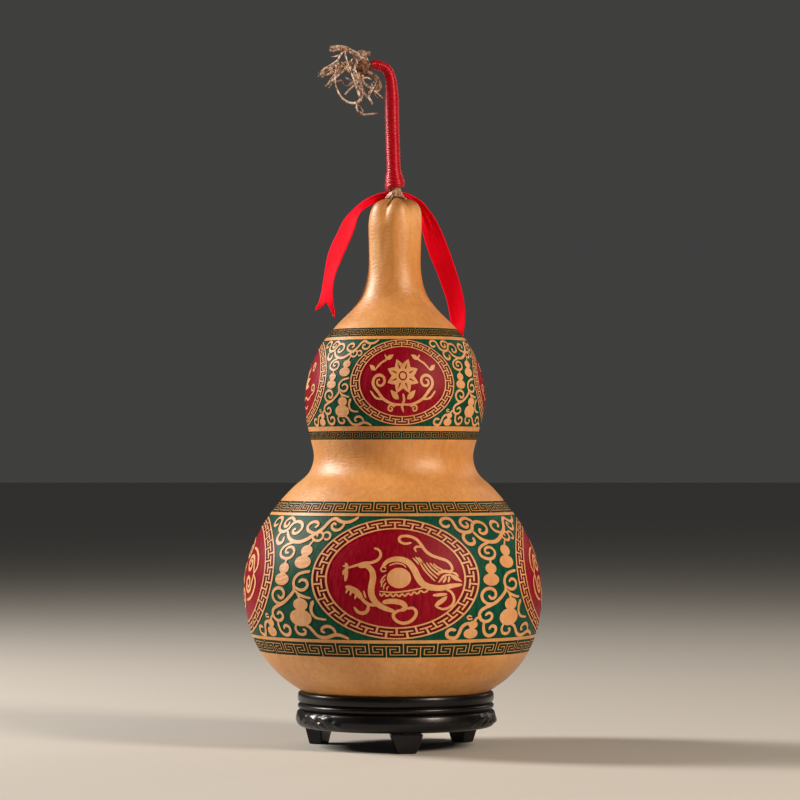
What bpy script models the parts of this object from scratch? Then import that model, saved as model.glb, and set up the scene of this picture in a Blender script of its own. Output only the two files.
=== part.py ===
# Dried bottle gourd standing in a turned black stand. Its stem is wound with red thread and ends in a
# tuft of dried tendrils, and a red ribbon hangs from the foot of the stem.
# Metres, +Z up. The origin is on the surface that the feet stand on, under the middle of the lower bulb.
# Front is -Y.

import math

import bmesh
import bpy
import numpy as np
from mathutils import Vector

MM = 0.001

# Driving dimensions
LOWER_BULB_RADIUS = 71.2 * MM
UPPER_BULB_RADIUS = 43.0 * MM
WAIST_RADIUS = 37.9 * MM
NECK_RADIUS = 12.5 * MM
GOURD_TOP = 262.1 * MM
GOURD_FOOT = 14.6 * MM
STAND_HEIGHT = 26.6 * MM
STAND_RADIUS = 47.9 * MM
DRUM_UNDERSIDE = 9.5 * MM
SEAT_FLOOR = 13.0 * MM
STEM_RADIUS = 2.2 * MM
THREAD_COAT_RADIUS = 3.45 * MM
RIBBON_WIDTH = 10.0 * MM
RIBBON_THICKNESS = 0.6 * MM
GAP = 0.3 * MM

# How finely the round pieces are faceted
GOURD_STEPS = 48
STAND_STEPS = 48
POINTS_PER_SPAN = 2

# The gourd's outline from the stem seat down to the foot: radius and height
GOURD_OUTLINE = [
    (0.0, GOURD_TOP),
    (4.8 * MM, GOURD_TOP),
    (7.4 * MM, 261.8 * MM),
    (10.2 * MM, 260.3 * MM),
    (12.0 * MM, 257.0 * MM),
    (12.75 * MM, 252.0 * MM),
    (NECK_RADIUS, 239.0 * MM),
    (NECK_RADIUS, 230.5 * MM),
    (13.5 * MM, 223.0 * MM),
    (16.0 * MM, 215.6 * MM),
    (21.0 * MM, 208.6 * MM),
    (27.9 * MM, 201.5 * MM),
    (34.9 * MM, 192.8 * MM),
    (40.1 * MM, 182.5 * MM),
    (UPPER_BULB_RADIUS, 168.0 * MM),
    (42.0 * MM, 157.5 * MM),
    (39.7 * MM, 147.5 * MM),
    (WAIST_RADIUS, 138.5 * MM),
    (40.2 * MM, 131.0 * MM),
    (47.6 * MM, 124.0 * MM),
    (55.0 * MM, 115.6 * MM),
    (63.0 * MM, 104.0 * MM),
    (69.0 * MM, 89.5 * MM),
    (LOWER_BULB_RADIUS, 74.0 * MM),
    (69.2 * MM, 58.5 * MM),
    (63.8 * MM, 45.0 * MM),
    (55.6 * MM, 34.6 * MM),
    (46.0 * MM, 27.4 * MM),
    (35.0 * MM, 20.8 * MM),
    (22.0 * MM, 16.2 * MM),
    (9.0 * MM, GOURD_FOOT),
    (0.0, GOURD_FOOT),
]

# The gourd leans a little as it grew: how far its middle is from the origin along X, by height
MIDDLE_LINE = [
    (0.0, 1.5 * MM),
    (30.0 * MM, 1.5 * MM),
    (74.0 * MM, 0.0),
    (116.0 * MM, -0.1 * MM),
    (138.0 * MM, 0.4 * MM),
    (168.0 * MM, 1.3 * MM),
    (195.0 * MM, 1.3 * MM),
    (220.0 * MM, 0.7 * MM),
    (250.0 * MM, 0.9 * MM),
    (264.0 * MM, 1.6 * MM),
]
STAND_MIDDLE = 1.5 * MM

# The turned stand's outside, from the rim down to its underside: radius and height
STAND_OUTLINE = [
    (45.3 * MM, STAND_HEIGHT),
    (46.5 * MM, 26.0 * MM),
    (46.9 * MM, 24.2 * MM),
    (46.6 * MM, 22.2 * MM),
    (45.4 * MM, 21.4 * MM),
    (46.5 * MM, 20.8 * MM),
    (46.9 * MM, 19.8 * MM),
    (46.5 * MM, 18.9 * MM),
    (45.3 * MM, 18.4 * MM),
    (46.7 * MM, 17.6 * MM),
    (47.6 * MM, 15.8 * MM),
    (STAND_RADIUS, 13.8 * MM),
    (47.3 * MM, 11.8 * MM),
    (45.8 * MM, 10.2 * MM),
    (43.4 * MM, DRUM_UNDERSIDE),
]
SEAT_RINGS = 9

# Three feet: the turn of each one from the front, towards +X
FOOT_TURNS = [7.0, 127.0, 247.0]
FOOT_MIDDLE_RADIUS = 40.4 * MM
FOOT_TOP = (15.4 * MM, 8.8 * MM)
FOOT_SOLE = (8.8 * MM, 6.8 * MM)
FOOT_BEVEL = 0.7 * MM

# The stem's run, from its root on the gourd up to the knot of the vine, in millimetres
STEM_RUN = [
    (2.2, 0.0, 262.4),
    (1.9, 0.0, 265.0),
    (1.3, 0.0, 268.4),
    (0.8, 0.0, 272.0),
    (0.5, 0.0, 277.0),
    (0.1, 0.0, 288.5),
    (-0.3, 0.0, 300.5),
    (-0.4, -0.1, 310.5),
    (-0.6, -0.2, 316.0),
    (-1.1, -0.4, 320.3),
    (-2.1, -0.6, 323.5),
    (-4.0, -0.8, 325.6),
    (-6.6, -1.0, 326.6),
    (-10.6, -1.2, 327.0),
    (-14.0, -1.3, 326.4),
]
ROOT_FLARE = 1.3
STEM_TIP_SHARE = 0.64
THREAD_FROM = 5.6 * MM
THREAD_TO = 70.4 * MM
THREAD_SKIRT = 10.0 * MM
THREAD_SKIRT_RADIUS = 4.9 * MM
THREAD_TIP_SHARE = 0.72
TAPER_FROM = 46.0 * MM
TAPER_TO = 66.0 * MM

# The dried tendrils and leaf stalks at the vine's end: points and the radius at both ends, in millimetres
KNOT_MIDDLE = (-14.4, -1.2, 325.6)
KNOT_SIZE = (3.7, 3.2, 3.9)
TWIGS = [
    (
        [(-14.4, -1.0, 327.0), (-14.2, -1.0, 330.0), (-18.1, -1.4, 332.4), (-22.5, -1.9, 334.4),
         (-26.4, -2.3, 335.5), (-30.0, -2.6, 335.0)],
        1.9,
        0.8,
    ),
    (
        [(-23.0, -1.9, 334.6), (-26.6, -3.2, 334.2), (-29.0, -4.6, 333.6)],
        1.0,
        0.6,
    ),
    (
        [(-17.0, -1.2, 332.8), (-13.6, 1.8, 333.8), (-11.0, 2.6, 332.6)],
        1.4,
        0.8,
    ),
    (
        [(-23.2, -1.8, 334.0), (-22.0, -4.6, 328.2), (-20.0, -5.6, 322.8), (-18.0, -5.0, 317.4),
         (-16.2, -3.2, 312.8), (-15.2, -1.0, 309.6)],
        0.5,
        0.5,
    ),
    (
        [(-23.4, -1.8, 334.2), (-26.4, -4.4, 328.2), (-27.6, -6.6, 321.0), (-27.0, -7.6, 315.6),
         (-24.4, -7.4, 310.6), (-20.6, -5.4, 308.4), (-17.0, -2.8, 308.8), (-15.0, -1.0, 311.2),
         (-14.4, 0.4, 316.0), (-16.8, 0.4, 321.4)],
        0.5,
        0.8,
    ),
    (
        [(-16.4, -1.0, 326.8), (-20.6, 0.0, 328.2), (-25.0, 0.8, 327.4), (-30.6, 1.8, 324.4),
         (-35.8, 2.8, 321.9)],
        1.2,
        0.7,
    ),
    (
        [(-23.0, 0.4, 327.6), (-28.6, -1.8, 323.6), (-34.0, -3.0, 320.8)],
        0.9,
        0.6,
    ),
    (
        [(-22.0, 0.2, 327.6), (-27.0, 3.4, 322.4), (-29.8, 5.6, 319.4), (-32.4, 6.8, 317.6)],
        0.9,
        0.6,
    ),
    (
        [(-20.4, -0.2, 328.0), (-25.4, -2.2, 322.6), (-30.4, -4.2, 318.4)],
        0.9,
        0.6,
    ),
    (
        [(-15.1, -1.0, 310.2), (-17.2, -0.4, 307.2), (-16.4, 1.0, 304.2), (-13.6, 2.0, 303.4),
         (-10.0, 2.4, 303.8), (-6.6, 2.2, 304.2)],
        0.8,
        0.5,
    ),
    (
        [(-14.4, -1.8, 324.4), (-9.8, -4.6, 321.8), (-6.6, -5.6, 318.8), (-6.4, -5.4, 315.4),
         (-7.9, -5.0, 313.6)],
        1.4,
        0.8,
    ),
    (
        [(-14.4, -1.4, 323.4), (-13.8, -4.6, 318.0), (-10.6, -6.0, 315.4), (-7.6, -6.2, 313.0),
         (-4.8, -6.4, 310.4)],
        0.8,
        0.5,
    ),
    (
        [(-7.4, -5.3, 319.6), (-9.2, -6.4, 315.6), (-11.4, -6.8, 311.4), (-9.6, -6.6, 307.4)],
        0.7,
        0.6,
    ),
    (
        [(-15.4, -0.8, 323.6), (-18.4, 2.4, 319.8), (-22.2, 4.8, 317.8), (-24.6, 4.6, 320.2),
         (-27.0, 3.2, 319.6)],
        0.8,
        0.5,
    ),
    (
        [(-16.6, -1.0, 327.4), (-18.2, 3.8, 324.0), (-17.6, 6.4, 319.0), (-14.4, 7.4, 315.4),
         (-12.0, 6.4, 311.6)],
        0.7,
        0.5,
    ),
]

# The ribbon's run, left tail to right tail, in millimetres: the middle of its width, the direction from its
# outer edge to its inner one, and the share of the full width there, as it is gathered behind the stem
RIBBON_RUN = [
    ((-32.6, 0.6, 207.1), (4.6, -0.3, -1.8), 1.0),
    ((-32.1, 0.8, 212.9), (3.3, -3.7, -0.3), 1.0),
    ((-31.5, 1.2, 219.0), (2.6, -4.3, -0.2), 1.0),
    ((-30.6, 1.6, 224.8), (2.6, -4.2, -0.5), 1.0),
    ((-29.2, 2.0, 230.6), (2.9, -3.9, -1.2), 1.0),
    ((-27.5, 2.4, 235.9), (3.3, -3.5, -1.5), 1.0),
    ((-25.4, 2.7, 240.8), (3.4, -3.4, -1.5), 1.0),
    ((-23.2, 3.0, 245.6), (3.2, -3.6, -1.5), 1.0),
    ((-21.2, 3.2, 250.2), (2.8, -3.7, -1.8), 1.0),
    ((-19.0, 3.4, 254.5), (1.7, -4.2, -1.9), 1.0),
    ((-16.1, 3.7, 258.4), (0.8, -4.2, -1.9), 0.93),
    ((-12.4, 4.2, 261.3), (0.4, -3.3, -2.0), 0.76),
    ((-8.4, 4.4, 263.2), (-0.1, -1.8, -1.9), 0.54),
    ((-4.2, 4.4, 264.3), (-0.2, -0.6, -1.7), 0.38),
    ((1.2, 4.3, 264.6), (0.0, 0.1, -1.7), 0.34),
    ((5.8, 5.4, 264.1), (0.1, 0.8, -1.6), 0.36),
    ((9.4, 7.0, 262.4), (-0.1, 2.0, -1.6), 0.52),
    ((12.9, 8.0, 259.7), (-0.7, 3.0, -1.8), 0.72),
    ((15.2, 8.6, 256.0), (-1.9, 3.6, -1.7), 0.88),
    ((16.9, 9.0, 252.2), (-3.1, 3.2, -1.8), 0.97),
    ((19.5, 9.6, 245.5), (-4.0, 2.3, -1.8), 1.0),
    ((22.7, 10.0, 236.9), (-4.4, 1.6, -1.7), 1.0),
    ((25.4, 10.6, 229.9), (-4.2, 2.2, -1.4), 1.0),
    ((27.9, 11.4, 222.6), (-4.1, 2.6, -1.1), 1.0),
    ((30.0, 12.2, 215.7), (-3.9, 3.0, -0.9), 1.0),
    ((31.1, 13.4, 209.3), (-3.6, 3.4, -0.5), 1.0),
    ((31.6, 14.6, 203.3), (-3.1, 3.9, -0.3), 1.0),
    ((31.3, 15.8, 196.8), (-2.8, 4.1, 0.3), 1.0),
    ((33.9, 19.2, 190.8), (-2.4, 4.3, 0.8), 1.0),
]
RIBBON_NOTCH = 6.2 * MM
RIBBON_STEPS_PER_SPAN = 2


def smooth_line(points, per_span):
    # A centripetal Catmull-Rom curve through the points, with per_span steps between neighbours.
    p = np.array(points, float)
    p = np.vstack([2 * p[0] - p[1], p, 2 * p[-1] - p[-2]])
    line = []
    for i in range(1, len(p) - 2):
        a, b, c, d = p[i - 1 : i + 3]
        ta = 0.0
        tb = ta + np.linalg.norm(b - a) ** 0.5
        tc = tb + np.linalg.norm(c - b) ** 0.5
        td = tc + np.linalg.norm(d - c) ** 0.5
        for t in np.linspace(tb, tc, per_span, endpoint=False):
            ab = a * (tb - t) / (tb - ta) + b * (t - ta) / (tb - ta)
            bc = b * (tc - t) / (tc - tb) + c * (t - tb) / (tc - tb)
            cd = c * (td - t) / (td - tc) + d * (t - tc) / (td - tc)
            abc = ab * (tc - t) / (tc - ta) + bc * (t - ta) / (tc - ta)
            bcd = bc * (td - t) / (td - tb) + cd * (t - tb) / (td - tb)
            line.append(abc * (tc - t) / (tc - tb) + bcd * (t - tb) / (tc - tb))
    return np.array(line + [p[-2]])


def along(line):
    # The distance of each point of a line from its start.
    return np.concatenate([[0], np.cumsum(np.linalg.norm(np.diff(line, axis=0), axis=1))])


def point_at(line, stations):
    # The points of a line at these distances along it.
    reach = along(line)
    return np.stack([np.interp(stations, reach, line[:, k]) for k in range(3)], axis=1)


def material(name, colour, roughness, metallic=0.0):
    made = bpy.data.materials.new(name)
    made.use_nodes = True
    shader = made.node_tree.nodes["Principled BSDF"]
    shader.inputs["Base Color"].default_value = (*colour, 1.0)
    shader.inputs["Roughness"].default_value = roughness
    shader.inputs["Metallic"].default_value = metallic
    return made


def add_object(name, data, collection):
    made = bpy.data.objects.new(name, data)
    collection.objects.link(made)
    return made


def settle(obj):
    # Replaces an object by the mesh that its curve or modifiers give, with its caps welded.
    bpy.context.view_layer.update()
    graph = bpy.context.evaluated_depsgraph_get()
    mesh = bpy.data.meshes.new_from_object(obj.evaluated_get(graph))
    body = bmesh.new()
    body.from_mesh(mesh)
    bmesh.ops.remove_doubles(body, verts=body.verts, dist=0.005 * MM)
    bmesh.ops.recalc_face_normals(body, faces=body.faces)
    body.to_mesh(mesh)
    body.free()
    name, collection = obj.name, obj.users_collection[0]
    bpy.data.objects.remove(obj)
    made = add_object(name, mesh, collection)
    made.name = name
    return made


def finish(obj, made_of, smooth_angle=40.0):
    obj.data.materials.clear()
    obj.data.materials.append(made_of)
    obj.data.shade_smooth()
    obj.data.set_sharp_from_angle(angle=math.radians(smooth_angle))
    return obj


def turned(name, outline, steps, collection):
    # A solid of revolution: the outline is radius and height, and runs down the outside.
    mesh = bpy.data.meshes.new(name)
    mesh.from_pydata(
        [(r, 0.0, z) for r, z in outline],
        [(i, i + 1) for i in range(len(outline) - 1)],
        [],
    )
    obj = add_object(name, mesh, collection)
    screw = obj.modifiers.new("Turn", "SCREW")
    screw.axis = "Z"
    screw.steps = steps
    screw.render_steps = steps
    screw.use_merge_vertices = True
    screw.merge_threshold = 0.00001
    return settle(obj)


def tube(name, line, radii, sides_level, collection):
    # A round tube along the line, with a radius for each point and filled caps.
    curve = bpy.data.curves.new(name, "CURVE")
    curve.dimensions = "3D"
    curve.bevel_depth = 1.0
    curve.bevel_resolution = sides_level
    curve.use_fill_caps = True
    spline = curve.splines.new("POLY")
    spline.points.add(len(line) - 1)
    for point, place, radius in zip(spline.points, line, radii):
        point.co = (*place, 1.0)
        point.radius = radius
    return settle(add_object(name, curve, collection))


def apply_boolean(obj, operation, cutter=None, collection=None):
    modifier = obj.modifiers.new("Join", "BOOLEAN")
    modifier.operation = operation
    if collection:
        # Twigs cross one another, so the whole collection is joined at once.
        modifier.operand_type = "COLLECTION"
        modifier.collection = collection
    else:
        modifier.object = cutter
    return settle(obj)


def middle_at(height):
    # Where the gourd's middle is along X at a height.
    heights, offsets = zip(*MIDDLE_LINE)
    return np.interp(height, heights, offsets)


def blend(value, start, end):
    # A smooth 0 to 1 as value goes from start to end.
    t = np.clip((value - start) / (end - start), 0, 1)
    return t * t * (3 - 2 * t)


def grown(radius, angle, height):
    # The grown gourd's radius where the turned one has this radius: faint lobes on the bulbs, and five
    # shallow flutes that run up the neck to the puckers round the stem. It stays round in the stand.
    bulbs = blend(height, 30 * MM, 55 * MM) * (1 - blend(height, 205 * MM, 225 * MM))
    lobes = 0.35 * MM * np.cos(2 * angle + 0.8) + 0.25 * MM * np.cos(3 * angle + 2.1)
    neck = blend(height, 212 * MM, 240 * MM)
    flutes = 0.22 * MM * np.cos(5 * angle + 0.4)
    top = blend(height, 252 * MM, 260.5 * MM)
    puckers = 0.8 * MM * np.cos(5 * angle + 0.4)
    inner = np.clip(radius / (10 * MM), 0, 1)
    return radius + inner * (bulbs * lobes + neck * flutes + top * puckers)


def make_gourd(collection, skin):
    outline = smooth_line(GOURD_OUTLINE[1:-1], POINTS_PER_SPAN)
    outline = [GOURD_OUTLINE[0], *outline, GOURD_OUTLINE[-1]]
    gourd = turned("gourd", outline, GOURD_STEPS, collection)
    for vertex in gourd.data.vertices:
        x, y, z = vertex.co
        angle = math.atan2(y, x)
        radius = grown(math.hypot(x, y), angle, z)
        vertex.co = (radius * math.cos(angle) + middle_at(z), radius * math.sin(angle), z)
    return finish(gourd, skin, 60)


def make_stand(collection, lacquer):
    # The seat is the gourd's own underside, a gap wider, down to a flat floor.
    heights = np.linspace(SEAT_FLOOR, STAND_HEIGHT - 0.5 * MM, SEAT_RINGS)
    gourd_line = smooth_line(GOURD_OUTLINE[1:-1], 8)[::-1]
    radii = np.interp(heights + GAP, gourd_line[:, 1], gourd_line[:, 0]) + GAP
    radii[0] = 0.7 * radii[2]
    seat = [(0.0, SEAT_FLOOR), *zip(radii, heights)]
    stand = turned("stand_body", [*seat, *STAND_OUTLINE, (0.0, DRUM_UNDERSIDE)], STAND_STEPS, collection)
    stand.location.x = STAND_MIDDLE
    finish(stand, lacquer, 35)


def make_foot(number, turn, collection, lacquer):
    # A block that narrows to its sole, with its edges rounded.
    height = DRUM_UNDERSIDE - GAP
    body = bmesh.new()
    bmesh.ops.create_cube(body, size=1.0)
    for vertex in body.verts:
        wide, deep = FOOT_TOP if vertex.co.z > 0 else FOOT_SOLE
        vertex.co = (vertex.co.x * wide, vertex.co.y * deep, (vertex.co.z + 0.5) * height)
    mesh = bpy.data.meshes.new(f"stand_foot_{number}")
    body.to_mesh(mesh)
    body.free()
    foot = add_object(f"stand_foot_{number}", mesh, collection)
    bevel = foot.modifiers.new("Rounded edges", "BEVEL")
    bevel.width = FOOT_BEVEL
    bevel.segments = 2
    angle = math.radians(turn)
    foot.location = (
        STAND_MIDDLE + FOOT_MIDDLE_RADIUS * math.sin(angle),
        -FOOT_MIDDLE_RADIUS * math.cos(angle),
        0.0,
    )
    foot.rotation_euler.z = angle
    finish(foot, lacquer, 30)


def stem_line():
    # The middle of the stem, drawn through its run.
    return smooth_line(np.array(STEM_RUN) * MM, 3)


def stretch(line, start, end):
    # The part of a line between two distances along it, and those distances.
    reach = along(line)
    between = reach[(reach > start + 0.4 * MM) & (reach < end - 0.4 * MM)]
    stations = np.concatenate([[start], between, [end]])
    return point_at(line, stations), stations


def stem_radius(reach):
    # Flared at its root, and thinner towards the knot.
    flare = (ROOT_FLARE - 1) * (1 - blend(reach, 0, 4.5 * MM))
    return STEM_RADIUS * (1 + flare - (1 - STEM_TIP_SHARE) * blend(reach, TAPER_FROM, TAPER_TO))


def make_vine(collection, bark):
    # The stem, the knot at its end and every twig, joined into one body.
    line = stem_line()
    stem = tube("vine_stem", line, stem_radius(along(line)), 3, collection)
    pieces = bpy.data.collections.new("Twigs")
    bpy.context.scene.collection.children.link(pieces)
    knot_body = bmesh.new()
    bmesh.ops.create_icosphere(knot_body, subdivisions=2, radius=1.0)
    for vertex in knot_body.verts:
        lump = 1 + 0.16 * math.sin(5 * vertex.co.x + 1) * math.cos(4 * vertex.co.z + vertex.co.y)
        vertex.co = Vector([c * s * lump + m for c, s, m in zip(vertex.co, KNOT_SIZE, KNOT_MIDDLE)]) * MM
    knot = bpy.data.meshes.new("knot")
    knot_body.to_mesh(knot)
    knot_body.free()
    add_object("knot", knot, pieces)
    for number, (points, thick, thin) in enumerate(TWIGS, 1):
        run = smooth_line(np.array(points) * MM, 3)
        share = along(run) / along(run)[-1]
        tube(f"twig_{number}", run, (thick + (thin - thick) * share) * MM, 1, pieces)
    vine = apply_boolean(stem, "UNION", collection=pieces)
    for piece in list(pieces.objects):
        bpy.data.objects.remove(piece)
    bpy.data.collections.remove(pieces)
    finish(vine, bark, 50)


def make_thread(collection, cutters, thread):
    # The wound thread is a coat round the stem, with a swelling at its foot, bored for the stem.
    line = stem_line()
    coat_line, reach = stretch(line, THREAD_FROM, THREAD_TO)
    past_end = reach - THREAD_FROM
    skirt = (1 - blend(past_end, 1.6 * MM, THREAD_SKIRT)) * (0.7 + 0.3 * blend(past_end, 0, 1.6 * MM))
    taper = 1 - (1 - THREAD_TIP_SHARE) * blend(reach, TAPER_FROM, TAPER_TO)
    radii = THREAD_COAT_RADIUS * taper + (THREAD_SKIRT_RADIUS - THREAD_COAT_RADIUS) * skirt
    coat = tube("thread_wrap", coat_line, radii, 4, collection)
    bore_line, reach = stretch(line, THREAD_FROM - 2 * MM, THREAD_TO + 2 * MM)
    bore = tube("bore", bore_line, 1.05 * stem_radius(reach) + GAP, 3, cutters)
    bore.hide_render = True
    bore.display_type = "WIRE"
    finish(apply_boolean(coat, "DIFFERENCE", cutter=bore), thread, 50)


def make_ribbon(collection, satin):
    # A strip three points wide, given its thickness by Solidify. The middle points near the tails are drawn
    # back from the end, so that both tails end in a notch.
    middles = smooth_line(np.array([m for m, _, _ in RIBBON_RUN]) * MM, RIBBON_STEPS_PER_SPAN)
    given = np.arange(len(RIBBON_RUN))
    wanted = np.linspace(0, given[-1], len(middles))
    directions = np.array([w for _, w, _ in RIBBON_RUN])
    sides = np.stack([np.interp(wanted, given, directions[:, k]) for k in range(3)], axis=1)
    shares = np.interp(wanted, given, [s for _, _, s in RIBBON_RUN])
    sides /= np.linalg.norm(sides, axis=1)[:, None]
    half = 0.5 * RIBBON_WIDTH * shares[:, None] * sides
    reach = along(middles)
    drawn = RIBBON_NOTCH * (1 - np.clip(reach / (2.5 * RIBBON_NOTCH), 0, 1))
    creases = point_at(middles, reach + drawn - drawn[::-1])
    rows = np.stack([middles - half, creases, middles + half], axis=1)
    faces = [
        (3 * i + j, 3 * i + j + 1, 3 * i + j + 4, 3 * i + j + 3)
        for i in range(len(rows) - 1)
        for j in range(2)
    ]
    mesh = bpy.data.meshes.new("ribbon")
    mesh.from_pydata(rows.reshape(-1, 3).tolist(), [], faces)
    ribbon = add_object("ribbon", mesh, collection)
    solidify = ribbon.modifiers.new("Thickness", "SOLIDIFY")
    solidify.thickness = RIBBON_THICKNESS
    solidify.offset = 0.0
    finish(ribbon, satin, 60)


def clear_scene():
    for obj in list(bpy.data.objects):
        bpy.data.objects.remove(obj)


def main():
    clear_scene()
    parts = bpy.data.collections.new("Dried bottle gourd")
    cutters = bpy.data.collections.new("Cutters")
    for collection in (parts, cutters):
        bpy.context.scene.collection.children.link(collection)
    skin = material("Dried gourd skin", (0.69, 0.40, 0.16), 0.42)
    lacquer = material("Black lacquered wood", (0.012, 0.011, 0.014), 0.25)
    bark = material("Dried vine", (0.36, 0.24, 0.14), 0.8)
    thread = material("Red silk thread", (0.62, 0.004, 0.03), 0.45)
    satin = material("Red satin ribbon", (0.72, 0.004, 0.03), 0.4)
    make_gourd(parts, skin)
    make_stand(parts, lacquer)
    for number, turn in enumerate(FOOT_TURNS, 1):
        make_foot(number, turn, parts, lacquer)
    make_vine(parts, bark)
    make_thread(parts, cutters, thread)
    make_ribbon(parts, satin)


main()
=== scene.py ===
# Looks for the dried bottle gourd: a waxed rind with painted, engraved bands, a stem wound with red silk,
# a satin ribbon and a black lacquered stand. Metres, +Z up, front is -Y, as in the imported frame.
import math

import bpy
import numpy as np
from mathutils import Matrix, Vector
from mathutils.geometry import delaunay_2d_cdt


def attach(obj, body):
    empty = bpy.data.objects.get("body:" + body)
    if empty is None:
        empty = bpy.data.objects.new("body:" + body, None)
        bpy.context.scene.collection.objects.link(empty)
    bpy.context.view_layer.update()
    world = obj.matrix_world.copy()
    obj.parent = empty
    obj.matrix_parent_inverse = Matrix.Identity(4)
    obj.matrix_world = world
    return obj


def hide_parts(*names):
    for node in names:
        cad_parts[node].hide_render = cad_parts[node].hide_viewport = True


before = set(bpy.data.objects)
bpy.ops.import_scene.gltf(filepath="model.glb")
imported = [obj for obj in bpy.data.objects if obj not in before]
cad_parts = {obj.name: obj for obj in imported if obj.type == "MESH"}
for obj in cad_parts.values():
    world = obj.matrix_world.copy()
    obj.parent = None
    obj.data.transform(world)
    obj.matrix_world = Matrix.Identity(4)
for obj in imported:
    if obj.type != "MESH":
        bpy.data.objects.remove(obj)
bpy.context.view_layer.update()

mm = 0.001

cameraSet = {
    "place": (3.5 * mm, -1600 * mm, 136.3 * mm),  # straight in front, at half the gourd's height
    "lens": 150.0,
    "lookingUp": 1.06,  # degrees: the photo's horizon lies below its middle
}
cameraData = bpy.data.cameras.new("Camera")
cameraData.lens = cameraSet["lens"]
cameraData.sensor_width = 36.0
cameraData.clip_start = 0.05
cameraData.clip_end = 60.0
camera = bpy.data.objects.new("Camera", cameraData)
bpy.context.scene.collection.objects.link(camera)
camera.location = cameraSet["place"]
camera.rotation_euler = (math.radians(90 + cameraSet["lookingUp"]), 0, 0)
bpy.context.scene.camera = camera


def toLinear(colour):
    # sRGB hex to linear: c / 12.92 for the darkest, otherwise ((c + 0.055) / 1.055) to the power 2.4.
    parts = [int(colour[i : i + 2], 16) / 255 for i in (0, 2, 4)]
    return (*(c / 12.92 if c <= 0.04045 else ((c + 0.055) / 1.055) ** 2.4 for c in parts), 1.0)


def feed(tree, node, inputs):
    # Sets a node's inputs: another node gives its first output, a socket is linked, the rest are values.
    for name, value in inputs.items():
        if isinstance(value, bpy.types.Node):
            value = value.outputs[0]
        if isinstance(value, bpy.types.NodeSocket):
            tree.links.new(value, node.inputs[name])
        else:
            node.inputs[name].default_value = value


def addNode(tree, kind, inputs=None, stops=None, **settings):
    # One node: settings are its properties, inputs are as in feed, stops are a ramp's places and colours.
    node = tree.nodes.new("ShaderNode" + kind)
    for name, value in settings.items():
        setattr(node, name, value)
    feed(tree, node, inputs or {})
    if stops:
        elements = node.color_ramp.elements
        while len(elements) < len(stops):
            elements.new(1.0)
        for element, (place, colour) in zip(elements, stops):
            element.position = place
            element.color = toLinear(colour)
    return node


def startFinish(name, **constants):
    # A material with one Principled shader, whose constant sockets are set on the shader itself. It comes
    # with its tree, its shader and the place on the object.
    finish = bpy.data.materials.new(name)
    finish.use_nodes = True
    tree = finish.node_tree
    shader = tree.nodes["Principled BSDF"]
    feed(tree, shader, {socket.replace("_", " "): value for socket, value in constants.items()})
    return finish, tree, shader, addNode(tree, "TexCoord").outputs["Object"]


def waxedRind(name, dark, middling, pale, roughness, coat):
    # Dried bottle gourd rind, scraped and waxed: warm tan with cloudy patches, fine growth streaks up the
    # neck, a few dark pores, and round the stem a brown that is partly a real stain and partly painted shade
    # of the folds there, under a thin soft shine.
    finish, tree, shader, place = startFinish(name, Coat_Weight=coat, Coat_Roughness=0.4, IOR=1.48)
    # Cloudy patches about 30 mm across.
    patches = addNode(tree, "TexNoise", {"Vector": place, "Scale": 34.0, "Detail": 5.0, "Roughness": 0.6})
    # Growth streaks about 2 mm wide and six times as long.
    upright = addNode(tree, "Mapping", {"Vector": place, "Scale": (1.0, 1.0, 0.16)})
    streaks = addNode(
        tree, "TexNoise", {"Vector": upright, "Scale": 520.0, "Detail": 4.0, "Roughness": 0.65}
    )
    # The leathery grain: ripples about 1.2 mm apart that lie across the neck.
    level = addNode(tree, "Mapping", {"Vector": place, "Scale": (0.55, 0.55, 1.5)})
    leather = addNode(tree, "TexNoise", {"Vector": level, "Scale": 620.0, "Detail": 2.0})
    # Pores about 0.5 mm wide, some 4 mm apart.
    pores = addNode(tree, "TexVoronoi", {"Vector": place, "Scale": 230.0, "Randomness": 1.0})
    base = addNode(tree, "ValToRGB", {"Fac": patches}, [(0.28, dark), (0.5, middling), (0.72, pale)])
    grain = addNode(tree, "ValToRGB", {"Fac": streaks}, [(0.3, "DCD2C4"), (0.62, "FFFFFF")])
    streaked = addNode(tree, "Mix", {0: 0.55, 6: base, 7: grain}, data_type="RGBA", blend_type="MULTIPLY")
    poreShade = addNode(tree, "ValToRGB", {"Fac": pores}, [(0.03, "8A5A30"), (0.085, "FFFFFF")])
    pored = addNode(
        tree, "Mix", {0: 0.35, 6: streaked.outputs[2], 7: poreShade}, data_type="RGBA",
        blend_type="MULTIPLY",
    )
    height = addNode(tree, "SeparateXYZ", {"Vector": place}).outputs["Z"]
    # Browner towards the stem seat, in cloudy patches: partly a real stain, partly painted shade of the folds
    # round the stem.
    topStainAndShadeRamp = addNode(
        tree, "MapRange", {"Value": height, "From Min": 254.5 * mm, "From Max": 262.5 * mm, "To Max": 1.25},
        interpolation_type="SMOOTHSTEP",
    )
    stainAndPaintedShade = addNode(tree, "Math", {0: topStainAndShadeRamp, 1: patches}, operation="MULTIPLY", use_clamp=True)
    stainedAndShaded = addNode(tree, "Mix", {0: stainAndPaintedShade, 6: pored.outputs[2], 7: toLinear("7A4E2A")}, data_type="RGBA")
    gloss = addNode(
        tree, "MapRange", {"Value": patches, "To Min": roughness - 0.07, "To Max": roughness + 0.07}
    )
    relief = addNode(tree, "Math", {0: streaks, 1: patches}, operation="ADD")
    grained = addNode(tree, "Bump", {"Strength": 0.5, "Distance": 0.45 * mm, "Height": leather})
    bump = addNode(
        tree, "Bump", {"Strength": 0.2, "Distance": 0.25 * mm, "Height": relief, "Normal": grained}
    )
    feed(tree, shader, {"Base Color": stainedAndShaded.outputs[2], "Roughness": gloss, "Normal": bump})
    return finish


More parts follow.
